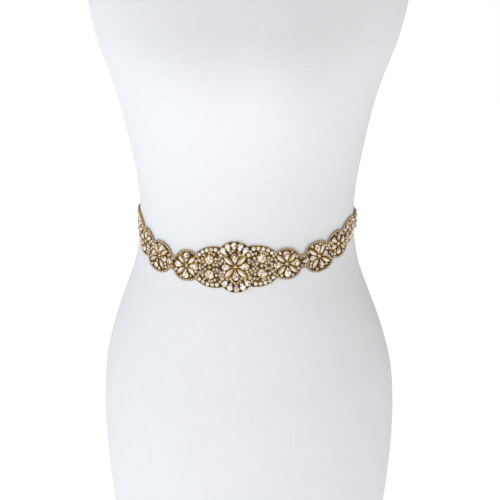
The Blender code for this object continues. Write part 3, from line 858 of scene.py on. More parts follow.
def linen_finish():
    """Fine bleached linen, with slubs along both ways of its weave."""
    finish = Finish("bleached linen", Roughness=0.86, Sheen_Weight=0.12)
    across, along = finish.flat_place()
    warp = (across * (math.pi / LINEN_THREAD)).math("SINE")
    weft = (along * (math.pi / LINEN_THREAD)).math("SINE")
    weave = (warp * weft).math("ABSOLUTE")
    slubs_across = finish.streaks(across, along, *LINEN_SLUBS)
    slubs_along = finish.streaks(across, along, *LINEN_SLUBS[::-1])
    slubs = (slubs_across + slubs_along).clamp(0.75, 1.25)
    tone = slubs * 0.55 + finish.cloud(LINEN_CLOUD) * 0.25 + weave * 0.2
    finish.show("Base Color", finish.blend(LINEN_DARK, LINEN_LIGHT, tone))
    finish.bump(weave * 0.6 + slubs, *LINEN_RELIEF)
    return finish.material


def satin_finish():
    """White satin ribbon with fine floats and a woven selvedge at each edge."""
    finish = Finish("white satin", Roughness=0.3, Sheen_Weight=0.3, Specular_IOR_Level=0.7)
    across, along = finish.flat_place()
    edge = (across - RIBBON_WIDTH / 2).math("ABSOLUTE")
    selvedge = edge.clamp(RIBBON_WIDTH / 2 - SELVEDGE * 1.25, RIBBON_WIDTH / 2 - SELVEDGE)
    floats = ((along + across * 0.35) * (2 * math.pi / SATIN_FLOAT)).math("SINE")
    streaks = finish.streaks(across, along, *SATIN_STREAKS[::-1])
    cloud = finish.cloud(SATIN_CLOUD)
    tone = (streaks * 0.25 + cloud * 0.75 + floats * 0.03 - selvedge * 0.25).clamp(0.15, 0.8)
    finish.show("Base Color", finish.blend(SATIN_DARK, SATIN_LIGHT, tone))
    finish.show("Roughness", streaks * 0.16 + selvedge * 0.2 + 0.2)
    finish.bump(floats * 0.15 + streaks * 0.25 + selvedge * 1.2, *SATIN_RELIEF)
    return finish.material


def net_finish():
    """Fine diamond net, with painted shade over it between the stones except at its bare places, and gold
    along its edge.
    """
    finish = Finish("fine net", Roughness=0.7)
    u, v = finish.flat_place()
    one = ((u + v) * (math.pi / NET_MESH)).math("SINE").math("ABSOLUTE")
    other = ((u - v) * (math.pi / NET_MESH)).math("SINE").math("ABSOLUTE")
    threads = 1 - one.math("MINIMUM", other).clamp(0.25, 0.45)
    bare = finish.carried("bare")
    cord = finish.carried("cord")
    tint = (finish.cloud(NET_CLOUD) - 0.5) * 0.4
    pale = u.math("ABSOLUTE").clamp(PALE_FROM, PALE_TO) * PALE_MOST
    # Painted shade: near-black between the stones, the net's own colour at its bare places, lighter towards
    # the ends
    ground = finish.blend(NET_PAINTED_SHADE, NET_BARE, (bare + tint + pale).clamp(0.1, 0.9))
    finish.show("Base Color", finish.blend(ground, GOLD_COLOUR, cord.clamp(0.55, 0.85)))
    finish.show("Alpha", (threads * 0.4 + 0.6).math("MAXIMUM", 1 - bare))
    finish.bump(threads, *NET_RELIEF)
    return finish.material


def crystal_finish():
    """Foil-backed crystal, whose facets each carry a painted reflection, with painted glints and a faint
    painted glow.
    """
    finish = Finish(
        "cut crystal", Roughness=0.06, IOR=1.6, Coat_Weight=0.8, Coat_Roughness=0.03, Emission_Strength=0.06
    )
    # Painted glints
    glint = finish.cloud(CRYSTAL_GLINT, 1.0).clamp(0.58, 0.70)
    tone = finish.tone()
    finish.show("Base Color", finish.blend(tone, GLINT_COLOUR, glint * 0.5))
    # Painted glow of each facet's tone
    finish.show("Emission Color", tone)
    return finish.material


def gold_finish():
    """Polished gold plate, with painted shade low down in the settings and beads, and a faint painted glow.
    """
    finish = Finish(
        "gold plate", Metallic=0.35, Coat_Weight=0.15, Coat_Roughness=0.1, Emission_Strength=0.14
    )
    height = finish.node("ShaderNodeSeparateColor", {}, {0: finish.tone()}, 0)
    patina = finish.cloud(GOLD_PATINA, 3.0)
    # Painted shade: dark low on a setting or bead and gold at its top, its edge mottled by the patina
    depth = (height + patina * 0.6 - 0.3).clamp(0.3, 0.95)
    gold = finish.blend(GOLD_SHADE, GOLD_COLOUR, depth)
    finish.show("Base Color", gold)
    # Painted glow in the gold's own colour
    finish.show("Emission Color", gold)
    finish.show("Roughness", patina * 0.25 + 0.12)
    finish.bump(patina, *GOLD_RELIEF)
    return finish.material


def pearl_finish():
    """Pearls with a soft lustre, and painted shade towards their rims."""
    finish = Finish("pearl", Roughness=0.22, Coat_Weight=0.6, Coat_Roughness=0.08, Sheen_Weight=0.1)
    # Painted shade: each pearl darkens towards its rim as seen
    lustre = finish.node("ShaderNodeLayerWeight", {}, {"Blend": 0.35}, "Facing")
    shade = (lustre * 0.6 + finish.cloud(PEARL_CLOUD) * 0.3).clamp(0.3, 1.0)
    finish.show("Base Color", finish.blend(finish.tone(), PEARL_DARK, shade))
    return finish.material


def floor_finish():
    """Pale studio floor."""
    finish = Finish("pale floor", Roughness=0.8, Emission_Strength=0.8)
    finish.show("Base Color", finish.blend(FLOOR_DARK, FLOOR_LIGHT, finish.cloud(FLOOR_CLOUD)))
    finish.show("Emission Color", WHITE)
    return finish.material


LINEN = linen_finish()
SATIN = satin_finish()
NET = net_finish()
CRYSTAL = crystal_finish()
GOLD = gold_finish()
PEARL = pearl_finish()


# Stones, settings and beads, each modelled once at a width, length and rise of 1

def start_piece(add, **size):
    """A primitive by itself, opened in edit mode with nothing selected."""
    bpy.ops.object.select_all(action="DESELECT")
    add(**size)
    bpy.ops.object.mode_set(mode="EDIT")
    bpy.ops.mesh.select_all(action="DESELECT")
    return bpy.context.object


def pick(item, kind, test):
    """Select the faces or the corners that pass a test."""
    bpy.ops.mesh.select_mode(type=kind)
    bpy.ops.mesh.select_all(action="DESELECT")
    work = bmesh.from_edit_mesh(item.data)
    for part in work.faces if kind == "FACE" else work.verts:
        part.select_set(test(part))
    work.select_flush_mode()
    bmesh.update_edit_mesh(item.data)


def pick_top(item):
    """Select the faces whose corners are all at the highest level."""
    most = max(vertex.co.z for vertex in bmesh.from_edit_mesh(item.data).verts)
    pick(item, "FACE", lambda face: all(corner.co.z > most - 0.001 for corner in face.verts))


def raise_top(item, height, scale):
    """Extrude the top face up and draw it in."""
    pick_top(item)
    bpy.ops.mesh.extrude_region_move(TRANSFORM_OT_translate={"value": (0.0, 0.0, height)})
    bpy.ops.transform.resize(value=(scale, scale, 1.0), center_override=(0.0, 0.0, 0.0))


def shape_rows(item, sides, widen):
    """Widen or narrow each row of corners across the length, by a rule of its turn from the tip."""
    for i in range(1, sides // 2):
        turn = 2 * math.pi * i / sides
        x = math.cos(turn) / 2
        pick(item, "VERT", lambda vertex: abs(vertex.co.x - x) < 0.01)
        bpy.ops.transform.resize(value=(1.0, widen(turn), 1.0), center_override=(0.0, 0.0, 0.0))


def pear_rule(turn):
    """Width against a circle's, which falls to nothing at the tip."""
    return math.sin(turn / 2) * PEAR_FULLNESS


def marquise_rule(turn):
    """Width against a circle's, which falls towards both tips."""
    return abs(math.sin(turn)) ** MARQUISE_POINT


def round_rule(turn):
    """A circle's own width at every turn."""
    return 1.0


RULES = {"round": round_rule, "large": round_rule, "pear": pear_rule, "marquise": marquise_rule}


class Pattern:
    """A modelled piece as arrays, ready to be copied. The piece itself is removed."""

    def __init__(self, item, rounded):
        bpy.ops.mesh.select_mode(type="FACE")
        bpy.ops.mesh.select_all(action="SELECT")
        bpy.ops.mesh.normals_make_consistent(inside=False)
        bpy.ops.object.mode_set(mode="OBJECT")
        mesh = item.data
        self.corners = np.array([vertex.co for vertex in mesh.vertices])
        self.faces = [tuple(face.vertices) for face in mesh.polygons]
        self.normals = [face.normal.copy() for face in mesh.polygons]
        self.rounded = rounded
        bpy.data.objects.remove(item, do_unlink=True)
        bpy.data.meshes.remove(mesh)


def start_stone(kind, depth, levels=()):
    """A block with a stone's outline, its tip at +x, raised level by level."""
    item = start_piece(
        bpy.ops.mesh.primitive_cylinder_add,
        vertices=SIDES[kind],
        radius=0.5,
        depth=depth,
        location=(0, 0, depth / 2),
    )
    shape_rows(item, SIDES[kind], RULES[kind])
    for height, scale in levels:
        raise_top(item, height, scale)
    return item


def model_brilliant(kind):
    """Round brilliant: a girdle, a crown of twisted facets and a table."""
    item = start_stone(kind, GIRDLE, BRILLIANT_LEVELS)
    half_side = math.pi / SIDES[kind]
    bpy.ops.transform.rotate(value=half_side, orient_axis="Z", center_override=(0.0, 0.0, 0.0))
    bpy.ops.mesh.poke()
    pick(item, "FACE", lambda face: face.calc_center_median().z > GIRDLE and len(face.verts) == 4)
    bpy.ops.mesh.quads_convert_to_tris(quad_method="SHORTEST_DIAGONAL")
    return Pattern(item, False)


def model_pear():
    """Pear: two rows of facets and a table."""
    item = start_stone("pear", GIRDLE, PEAR_LEVELS)
    bpy.ops.mesh.poke()
    return Pattern(item, False)


def model_marquise():
    """Smooth domed stone with a tip at each end."""
    item = start_stone("marquise", GIRDLE, MARQUISE_LEVELS)
    bpy.ops.mesh.poke(offset=MARQUISE_DOME)
    return Pattern(item, True)


def model_cup(kind):
    """Setting round a stone: a wall with a rim, and claws that lean on the stone."""
    item = start_stone(kind, CUP_WALL)
    pick_top(item)
    bpy.ops.mesh.inset(thickness=CUP_RIM)
    bpy.ops.mesh.extrude_region_move(TRANSFORM_OT_translate={"value": (0.0, 0.0, -CUP_DEPTH)})
    for degrees in CLAWS[kind]:
        turn = math.radians(degrees)
        reach_x = math.cos(turn) / 2
        reach_y = math.sin(turn) * RULES[kind](turn) / 2
        bpy.ops.mesh.primitive_cone_add(
            vertices=CLAW_SIDES,
            radius1=CLAW_FOOT,
            radius2=CLAW_TIP,
            depth=CLAW_LENGTH,
            location=(reach_x * CLAW_REACH, reach_y * CLAW_REACH, CLAW_HEIGHT),
        )
    return Pattern(item, False)


def model_ball(kind):
    """A pearl or a bead, resting at height 0."""
    segments, rings, flatten = BALLS[kind]
    item = start_piece(
        bpy.ops.mesh.primitive_uv_sphere_add,
        segments=segments,
        ring_count=rings,
        radius=0.5,
        location=(0, 0, 0.5),
    )
    bpy.ops.mesh.select_all(action="SELECT")
    bpy.ops.transform.resize(value=(1.0, 1.0, flatten), center_override=(0.0, 0.0, 0.0))
    return Pattern(item, True)


PATTERNS = {
    "round": model_brilliant("round"),
    "large": model_brilliant("large"),
    "pear": model_pear(),
    "marquise": model_marquise(),
}
PATTERNS.update({kind: model_ball(kind) for kind in BALLS})
PATTERNS.update({f"{kind} cup": model_cup(kind) for kind in CLAWS})


def facet_tones(pattern, key, facets=FACETS):
    """A painted reflection for each face of a cut stone, and painted shade on its steep sides."""
    tones = []
    for i, normal in enumerate(pattern.normals):
        if normal.z < CROWN_SLOPE:
            tones.append(GIRDLE_COLOUR)
            continue
        draw = chance(key, i)
        for share, colour in facets:
            if draw < share:
                break
            draw -= share
        shade = SHADE_LEAST + SHADE_SPREAD * chance(key, i, FACET_DRAW)
        tones.append(tuple(min(1.0, value * shade) for value in colour))
    return tones


def clear_tones(pattern, key):
    """A painted reflection for each face of a clear stone."""
    return facet_tones(pattern, key, CLEAR_FACETS)


def chip_tones(pattern, key):
    """A painted reflection for each face of a small stone."""
    return facet_tones(pattern, key, CHIP_FACETS)


def between(low, high, part):
    """A colour part of the way between two."""
    return tuple(a + (b - a) * part for a, b in zip(low, high))


class Tray:
    """Copies of patterns that are joined into one piece."""

    def __init__(self):
        self.corners = []
        self.faces = []
        self.rounded = []
        self.tones = []
        self.count = 0

    def lay(self, pattern, seat, size, key, colouring):
        """Set one copy on a seat, with its length, width and rise."""
        foot, along, across, outward = seat
        turned = np.array([along, across, outward]) * np.array(size)[:, None]
        self.corners.append(pattern.corners @ turned + np.array(foot))
        self.faces += [tuple(corner + self.count for corner in face) for face in pattern.faces]
        self.rounded += [pattern.rounded] * len(pattern.faces)
        self.count += len(pattern.corners)
        tones = colouring(pattern, key)
        for face, tone in zip(pattern.faces, tones):
            self.tones += [tone] * len(face) if np.ndim(tone) == 1 else list(tone)

    def join(self, name, material, slot):
        """The piece that holds all the copies, or nothing if there are none."""
        if not self.faces:
            return None
        mesh = bpy.data.meshes.new(name)
        mesh.from_pydata(np.concatenate(self.corners).tolist(), [], self.faces)
        mesh.polygons.foreach_set("use_smooth", self.rounded)
        layer = mesh.color_attributes.new(name="tone", type="FLOAT_COLOR", domain="CORNER")
        colours = np.ones((len(self.tones), 4))
        colours[:, :3] = self.tones
        layer.data.foreach_set("color", colours.ravel())
        mesh.update()
        return add_piece(name, mesh, material)


def add_piece(name, mesh, material):
    """A piece of the visual model that rides on the part."""
    item = bpy.data.objects.new(name, mesh)
    mesh.materials.append(material)
    bpy.context.scene.collection.objects.link(item)
    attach(item, "root")
    return item


def gold_tones(pattern, key):
    """How high each corner of a setting or bead lies, as a grey, which sets its painted shade."""
    shade = SHADE_LEAST + SHADE_SPREAD * chance(key, GOLD_DRAW)
    parts = [smooth(z * GOLD_CLIMB * shade - GOLD_FOOT) for _, _, z in pattern.corners]
    return [[(parts[corner],) * 3 for corner in face] for face in pattern.faces]


def pearl_tones(pattern, key):
    """One tone for a whole pearl."""
    part = PEARL_LEAST + PEARL_SPREAD * chance(key, TONE_DRAW)
    tone = between(PEARL_DARK, PEARL_LIGHT, part)
    return [tone] * len(pattern.faces)


def opal_tones(pattern, key):
    """Tones of a smooth champagne stone, with painted shade at its rim and down one side."""
    light = between(OPAL_DARK, OPAL_LIGHT, OPAL_LEAST + OPAL_SPREAD * chance(key, TONE_DRAW))
    side = OPAL_ASIDE if chance(key, SIDE_DRAW) < 0.5 else -OPAL_ASIDE
    parts = [smooth(z * OPAL_CLIMB - OPAL_FOOT + side * y) for _, y, z in pattern.corners]
    return [[between(OPAL_DARK, light, parts[corner]) for corner in face] for face in pattern.faces]


def seat_at(u, v, turn):
    """Foot on the net of a piece whose tip points along a turn, with its three axes."""
    lift = inner_lift(u) + NET_THICKNESS
    foot = sash_point(u, v, lift)
    outward = (sash_point(u, v, lift + MM) - foot).normalized()
    along = sash_point(u + MM * math.cos(turn), v + MM * math.sin(turn), lift) - foot
    along = (along - outward * along.dot(outward)).normalized()
    return foot, along, outward.cross(along), outward


def rise_of(width):
    """Rise of a stone over the net."""
    return min(STONE_RISE * width, STONE_RISE_MOST)


class Layout:
    """Every stone, pearl and bead of the applique, drawn flat, and the room that is left."""

    def __init__(self):
        self.items = []
        self.blocks = []

    def add(self, kind, middle, length, width, turn):
        """Add a stone, pearl or bead, and block its place."""
        self.items.append((kind, middle, length, width, turn))
        if kind not in ("pear", "marquise"):
            self.blocks.append((middle.x, middle.y, width / 2))
            return
        way = Vector((math.cos(turn), math.sin(turn)))
        for i in range(1 - BLOCK_STEPS, BLOCK_STEPS):
            angle = math.acos(i / BLOCK_STEPS)
            place = middle + way * (length / 2 * i / BLOCK_STEPS)
            self.blocks.append((place.x, place.y, width / 2 * math.sin(angle) * RULES[kind](angle)))

    def room(self, point):
        """Free radius round a flat point."""
        blocks = np.array(self.blocks)
        return float((np.hypot(blocks[:, 0] - point.x, blocks[:, 1] - point.y) - blocks[:, 2]).min())

    def fill(self, edge):
        """Sew small stones, pearls and beads where there is room, the largest first."""
        places = free_places(edge)
        gaps = np.array([np.hypot(*(edge - place).T).min() for place in places])
        room = np.full(len(places), np.inf)
        for u, v, radius in self.blocks:
            room = np.minimum(room, np.hypot(places[:, 0] - u, places[:, 1] - v) - radius)
        for kind, width in FILLING:
            for i, place in enumerate(places):
                if room[i] < width / 2 + FILL_SPACE or gaps[i] < width * FILL_EDGE:
                    continue
                if chance(i, EMPTY_DRAW) < FILL_BARE_SHARE:
                    continue
                patch = np.floor(np.abs(place) / FILL_PATCH)
                if kind == "round" and chance(*patch, place[0] < 0, place[1] < 0) < FILL_GOLD_SHARE:
                    continue
                pearl = kind == "round" and chance(i, PEARL_DRAW) < FILL_PEARL_SHARE
                self.add("pearl" if pearl else kind, Vector(place), width, width, 0.0)
                room = np.minimum(room, np.hypot(*(places - place).T) - width / 2)


def bareness(u, v):
    """How far a flat place lies inside a bare place of the net: over 0 inside it, under 0 outside."""
    return max(
        radius * MM - math.hypot(abs(u) - middle * MM, abs(v) - height * MM)
        for middle, height, radius in BARE_NET
    )


def free_places(edge):
    """A close grid of places on the net, those nearest its edges first."""
    places = []
    reach = math.ceil(SASH_END / FILL_STEP)
    rise = math.ceil(float(edge[:, 1].max()) / FILL_STEP)
    for j in range(-rise, rise + 1):
        for i in range(-reach, reach + 1):
            u = (i + 0.5 * (j % 2)) * FILL_STEP
            v = j * FILL_STEP
            if abs(v) < edge_height(u) and bareness(u, v) < 0:
                places.append((u, v))
    return np.array(sorted(places, key=lambda place: (-abs(place[1]), place[0])))


def owner(point):
    """Index of the motif that a flat point is on."""
    for index, (_, edge_u, middle_u) in enumerate(MOTIFS[:-1]):
        part = min(1.0, abs(point.y) / edge_height(edge_u * MM))
        if abs(point.x) < (middle_u + (edge_u - middle_u) * part**SEAM_POWER) * MM:
            return index
    return len(MOTIFS) - 1


def edge_places(inset, pitch, start, end):
    """Places along the top edge, in from it and a pitch apart."""
    spots = [start + (end - start) * i / ROW_SPOTS for i in range(ROW_SPOTS + 1)]
    edge = np.array([(u, edge_height(u)) for u in spots])
    slope = np.gradient(edge, axis=0)
    slope /= np.linalg.norm(slope, axis=1)[:, None]
    inner = edge + np.stack([slope[:, 1], -slope[:, 0]], axis=1) * inset
    chosen = []
    for point in inner:
        if np.hypot(*(edge - point).T).min() < inset * ROW_KEEPS or point[1] < pitch / 2:
            continue
        if chosen and np.hypot(*(np.array(chosen) - point).T).min() < pitch:
            continue
        chosen.append(point)
    return [Vector(point) for point in chosen]


def draw_applique():
    """The whole applique, with its large stones, its edging and its filling."""
    layout = Layout()
    for index, (name, _, _) in enumerate(MOTIFS):
        for kind, middle, length, width, turn in motif_stones(name):
            layout.add(kind, middle, length, width, turn)
            if index > 0:
                layout.add(kind, Vector((-middle.x, middle.y)), length, width, math.pi - turn)
    chain = edge_places(CHAIN_INSET, CHAIN_PITCH, CHAIN_FROM, SASH_END)
    chain += edge_places(CHAIN_INSET, CHAIN_PITCH, -SASH_END, -CHAIN_FROM)
    for side in (1, -1):
        for place in chain:
            layout.add("round", Vector((place.x, side * place.y)), CHAIN_STONE, CHAIN_STONE, 0.0)
    rim = edge_places(RIM_INSET, RIM_PITCH, -CHAIN_FROM, CHAIN_FROM)
    for side in (1, -1):
        for place in rim:
            middle = Vector((place.x, side * place.y))
            if layout.room(middle) > RIM_ROOM:
                layout.add("bead", middle, RIM_BEAD, RIM_BEAD, 0.0)
    spots = [SASH_END * i / EDGE_SPOTS for i in range(-EDGE_SPOTS, EDGE_SPOTS + 1)]
    top = np.array([(u, edge_height(u)) for u in spots])
    layout.fill(np.concatenate([top, top * (1, -1)]))
    return layout.items


def lay_items(items, suffix, first_key):
    """The crystals, settings and pearls of a motif."""
    trays = {"crystals": Tray(), "settings": Tray(), "pearls": Tray()}
    for key, (kind, middle, length, width, turn) in enumerate(items, first_key):
        spin = turn if kind in ("pear", "marquise") else 2 * math.pi * chance(key, SPIN_DRAW)
        seat = seat_at(middle.x, middle.y, spin)
        if kind in ("pearl", "bead"):
            tray, colouring = ("pearls", pearl_tones) if kind == "pearl" else ("settings", gold_tones)
            trays[tray].lay(PATTERNS[kind], seat, (width, width, width), key, colouring)
            continue
        colouring = {"round": chip_tones, "pear": facet_tones, "marquise": opal_tones}[kind]
        if kind == "pear" and abs(middle.y) > FAN_FROM:
            colouring = clear_tones
        if kind == "round" and width > LARGE_ROUND:
            kind = "large"
            colouring = facet_tones
        rise = rise_of(width)
        trays["crystals"].lay(PATTERNS[kind], seat, (length, width, rise), key, colouring)
        cup = (length + 2 * CUP_MARGIN, width + 2 * CUP_MARGIN, rise)
        trays["settings"].lay(PATTERNS[kind + " cup"], seat, cup, key, gold_tones)
    finishes = {"crystals": (CRYSTAL, "crystal"), "settings": (GOLD, "gold"), "pearls": (PEARL, "pearl")}
    made = [tray.join(f"{label}_{suffix}", *finishes[label]) for label, tray in trays.items()]
    return [piece for piece in made if piece]


def make_net(index, side, suffix):
    """The net of a motif, cut to its outline."""
    outline = motif_outline(index)
    points = []
    xs = [point.x for point in outline]
    rise = max(point.y for point in outline)
    for i in range(math.floor(min(xs) / GROUND_STEP), math.ceil(max(xs) / GROUND_STEP) + 1):
        for j in range(-math.ceil(rise / GROUND_STEP), math.ceil(rise / GROUND_STEP) + 1):
            point = Vector((i * GROUND_STEP, j * GROUND_STEP))
            if inside(point, outline) and all((point - p).length > GROUND_MARGIN for p in outline):
                points.append(point)
    flat = outline + points
    keep_inside = 1
    result = delaunay_2d_cdt(flat, [], [list(range(len(outline)))], keep_inside, GROUND_MERGE)
    flat = [Vector((side * point.x, point.y)) for point in result[0]]
    faces = [tuple(face) if side > 0 else tuple(face[::-1]) for face in result[2]]
    mesh = bpy.data.meshes.new(f"net_{suffix}")
    corners = [sash_point(p.x, p.y, inner_lift(p.x) + NET_THICKNESS) for p in flat]
    mesh.from_pydata(corners, [], faces)
    drawing = mesh.uv_layers.new(name="flat")
    for loop in mesh.loops:
        drawing.data[loop.index].uv = flat[loop.vertex_index]
    # Where the net keeps its own colour; elsewhere it takes painted shade
    bare = mesh.attributes.new(name="bare", type="FLOAT", domain="POINT")
    bare.data.foreach_set("value", [smooth(0.5 + bareness(p.x, p.y) / BARE_FADE) for p in flat])
    cord = mesh.attributes.new(name="cord", type="FLOAT", domain="POINT")
    cord.data.foreach_set("value", [float(abs(p.y) > edge_height(p.x) - EDGE_CORD) for p in flat])
    mesh.shade_smooth()
    item = add_piece(f"net_{suffix}", mesh, NET)
    wall = item.modifiers.new("net", "SOLIDIFY")
    wall.thickness = FINE_NET
    wall.offset = -1.0
    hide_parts(f"motif_{suffix}")
    flat_area(outline)


def make_applique():
    """Every motif: its net, crystals, settings and pearls."""
    items = draw_applique()
    for index, (name, _, _) in enumerate(MOTIFS):
        mine = [item for item in items if owner(item[1]) == index]
        for side in (1, -1) if index else (1,):
            suffix = name + (("", "_right", "_left")[side] if index else "")
            here = [item for item in mine if not index or item[1].x * side > 0]
            on_it = lay_items(here, suffix, (2 * index + (side < 0)) * MOTIF_KEYS)
            make_net(index, side, suffix)


# Dress form

def make_form():
    """The torso in its linen cover."""
    turns = [2 * math.pi * i / FORM_SEGMENTS for i in range(FORM_SEGMENTS)]

    def rim(z, end, size, part):
        angle = math.pi / 2 * part
        level = z + (end - z) * math.sin(angle)
        points = [torso_point(turn, z, size * (math.cos(angle) - 1)) for turn in turns]
        return [Vector((point.x, point.y, level)) for point in points]

    top = TORSO_TOP - NECK_ROUNDING
    steps = round((top - BASE_ROUNDING) / FORM_STEP)
    parts = [i / RIM_STEPS for i in range(1, RIM_STEPS + 1)]
    rings = [rim(BASE_ROUNDING, 0.0, BASE_ROUNDING, part) for part in parts[::-1]]
    for i in range(steps + 1):
        z = BASE_ROUNDING + (top - BASE_ROUNDING) * i / steps
        rings.append([torso_surface(turn, z) for turn in turns])
    rings += [rim(top, TORSO_TOP, NECK_ROUNDING, part) for part in parts]
    corners = [point for ring in rings for point in ring]
    faces = [tuple(range(FORM_SEGMENTS))[::-1]]
    for low in range(len(rings) - 1):
        for i in range(FORM_SEGMENTS):
            j = (i + 1) % FORM_SEGMENTS
            a, b = low * FORM_SEGMENTS, (low + 1) * FORM_SEGMENTS
            faces.append((a + i, a + j, b + j, b + i))
    last = (len(rings) - 1) * FORM_SEGMENTS
    faces.append(tuple(range(last, last + FORM_SEGMENTS)))
    mesh = bpy.data.meshes.new("linen_form")
    mesh.from_pydata(corners, [], faces)
    drawing = mesh.uv_layers.new(name="flat")
    for face in mesh.polygons:
        wraps = face.index not in (0, len(faces) - 1)
        for loop in face.loop_indices:
            corner = mesh.loops[loop].vertex_index
            place = mesh.vertices[corner].co
            turn = turns[corner % FORM_SEGMENTS]
            if wraps and turn < math.pi / 2 and face.center.x < 0:
                turn += 2 * math.pi
            around = (turn * FORM_RADIUS, place.z)
            drawing.data[loop].uv = around if wraps else (place.x, place.y)
    mesh.shade_smooth()
    mesh.set_sharp_from_angle(angle=FORM_SHARP)
    item = add_piece("linen_form", mesh, LINEN)
    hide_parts("dress_form")


# Ribbon, knot, loops and tails

def across(count):
    """Places across a strip, from -1 at one edge to 1 at the other."""
    return [2 * j / count - 1 for j in range(count + 1)]


def crease_lift(creases, w, part, fade):
    """Height of the soft creases at a place across and along a strip."""
    lift = 0.0
    for middle, drift, width, depth in creases:
        offset = (w - middle - drift * part) / width
        lift += depth * MM * math.exp(-offset * offset) * fade
    return lift


def make_strip(name, node, rows, closed=False):
    """A satin strip over rows of points that run across it, cut from ribbon."""
    count = len(rows[0])
    corners = [point for row in rows for point in row]
    lengths = [0.0]
    for before, after in zip(rows, rows[1:]):
        lengths.append(lengths[-1] + (after[count // 2] - before[count // 2]).length)
    faces = []
    places = []
    for i in range(len(rows) - 1):
        for j in range(count - 1):
            ids = ((i, j), (i, j + 1), (i + 1, j + 1), (i + 1, j))
            faces.append(tuple(a % (len(rows) - closed) * count + b for a, b in ids))
            places += [(RIBBON_WIDTH * b / (count - 1), lengths[a]) for a, b in ids]
    if closed:
        corners = corners[:-count]
    mesh = bpy.data.meshes.new(name)
    mesh.from_pydata(corners, [], faces)
    drawing = mesh.uv_layers.new(name="flat")
    for loop, place in zip(drawing.data, places):
        loop.uv = place
    mesh.shade_smooth()
    item = add_piece(name, mesh, SATIN)
    wall = item.modifiers.new("satin", "SOLIDIFY")
    wall.thickness = FINE_SATIN
    wall.offset = 0.0
    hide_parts(node)


def make_ribbon(name, side):
    """The ribbon round the waist, from under the applique's end to its pinch in the knot."""
    end = SASH_SIDES[side][0][-1] - KNOT_HALF_WIDTH - GAP
    flat_end = end - PINCH_LENGTH
    steps = round((flat_end - RIBBON_START) / RIBBON_STEP)
    reaches = [RIBBON_START + (flat_end - RIBBON_START) * i / steps for i in range(steps)]
    reaches += [flat_end + (PINCH_LENGTH + TUCK) * i / PINCH_STEPS for i in range(PINCH_STEPS + 1)]
    rows = []
    for reach in reaches:
        pinch = smooth((reach - flat_end) / PINCH_LENGTH)
        half = RIBBON_WIDTH / 2 * (1 - pinch) + PINCH_HALF * pinch
        near = (reach - RIBBON_START) / (end - RIBBON_START)
        row = []
        for w in across(RIBBON_ACROSS):
            lift = CLEAR + SATIN_THICKNESS / 2
            lift += pinch * (PINCH_LIFT + PINCH_WAVE * math.cos(GATHERS * math.pi * w))
            fade = smooth((near - RIBBON_CREASE_FROM) / RIBBON_CREASE_OVER)
            fade *= 1 - PINCH_CREASE_LOSS * pinch
            lift += crease_lift(RIBBON_CREASES, w * side, near - 1, fade)
            row.append(sash_point(side * reach, half * w, lift))
        rows.append(row)
    make_strip(f"satin_{name}", name, rows)


def make_knot():
    """The stretch of ribbon wrapped round the middle of the bow."""
    rows = []
    for i in range(KNOT_SIDES + 1):
        angle = 2 * math.pi * (i % KNOT_SIDES) / KNOT_SIDES
        shape = [
            math.copysign(abs(value) ** (2 / KNOT_POWER), value)
            for value in (math.cos(angle), math.sin(angle))
        ]
        row = []
        for part in across(KNOT_RINGS):
            scale = 1 - (1 - KNOT_END_SCALE) * part * part
            crease = KNOT_CREASE * math.cos(KNOT_CREASES * math.pi * part)
            front = max(0.0, shape[0])
            for middle, slant, width, depth in KNOT_FOLDS:
                offset = (part - middle - slant * shape[1]) / width
                crease -= depth * MM * math.exp(-offset * offset) * front
            depth = (KNOT_HALF_DEPTH * scale + crease * (shape[0] > 0)) * shape[0]
            offset = (part - KNOT_PEAK_PLACE) / KNOT_PEAK_WIDTH
            peak = KNOT_PEAK * math.exp(-offset * offset) * max(0.0, shape[1])
            height = (KNOT_HALF_HEIGHT * scale + crease + peak) * shape[1]
            point = back_point(part * KNOT_HALF_WIDTH, 0.0, CLEAR + KNOT_HALF_DEPTH + depth)
            row.append(point + Vector((0.0, 0.0, height)))
        rows.append(row[::-1])
    make_strip("satin_bow_knot", "bow_knot", rows, closed=True)


def make_loop(name, side, length, droop):
    """One loop of the bow: out from the knot, round its fold and back underneath."""
    length *= MM
    droop = math.radians(droop)
    radius = LOOP_END_LAYERS / 2

    def back_lift(t):
        return LOOP_ROOT_LIFT + LOOP_END_LIFT * t * t

    def layer_gap(t):
        opening = (LOOP_END_LAYERS - LOOP_ROOT_LAYERS) * smooth(t / LOOP_SPREAD)
        return LOOP_ROOT_LAYERS + opening + LOOP_PUFF * math.sin(math.pi * t) ** 2

    def row(t, reach, lift, skew):
        half = LOOP_ROOT_HALF + (RIBBON_WIDTH / 2 - LOOP_ROOT_HALF) * smooth(t / LOOP_SPREAD)
        points = []
        for w in across(RIBBON_ACROSS):
            wave = LOOP_WAVE * (1 - smooth(t / LOOP_SPREAD)) * math.cos(GATHERS * math.pi * w)
            fade = smooth(t / LOOP_CREASE_RISE)
            fade *= 1 - smooth((t - LOOP_CREASE_FROM) / LOOP_CREASE_OVER)
            wave += crease_lift(LOOP_CREASES, w, t, fade)
            x = side * (KNOT_HALF_WIDTH + GAP + reach * math.cos(droop))
            x += side * half * w * math.sin(droop) * smooth(t / LOOP_SPREAD)
            drop = LOOP_ROOT_DROP + reach * math.sin(droop) - half * w * math.cos(droop) + skew
            points.append(back_point(x, drop, lift + wave))
        return points

    ahead = [i / LOOP_STEPS for i in range(LOOP_STEPS + 1)]
    flat = length - radius
    rows = [row(t, t * flat, back_lift(t) + layer_gap(t), 0.0) for t in ahead]
    for i in range(1, LOOP_FOLD_STEPS):
        angle = math.pi * i / LOOP_FOLD_STEPS
        lift = back_lift(1) + radius + radius * math.cos(angle)
        skew = LOOP_SKEW * i / LOOP_FOLD_STEPS
        rows.append(row(1, flat + radius * math.sin(angle), lift, skew))
    rows += [row(t, t * flat, back_lift(t), LOOP_SKEW * t) for t in ahead[::-1]]
    make_strip(f"satin_{name}", name, rows)


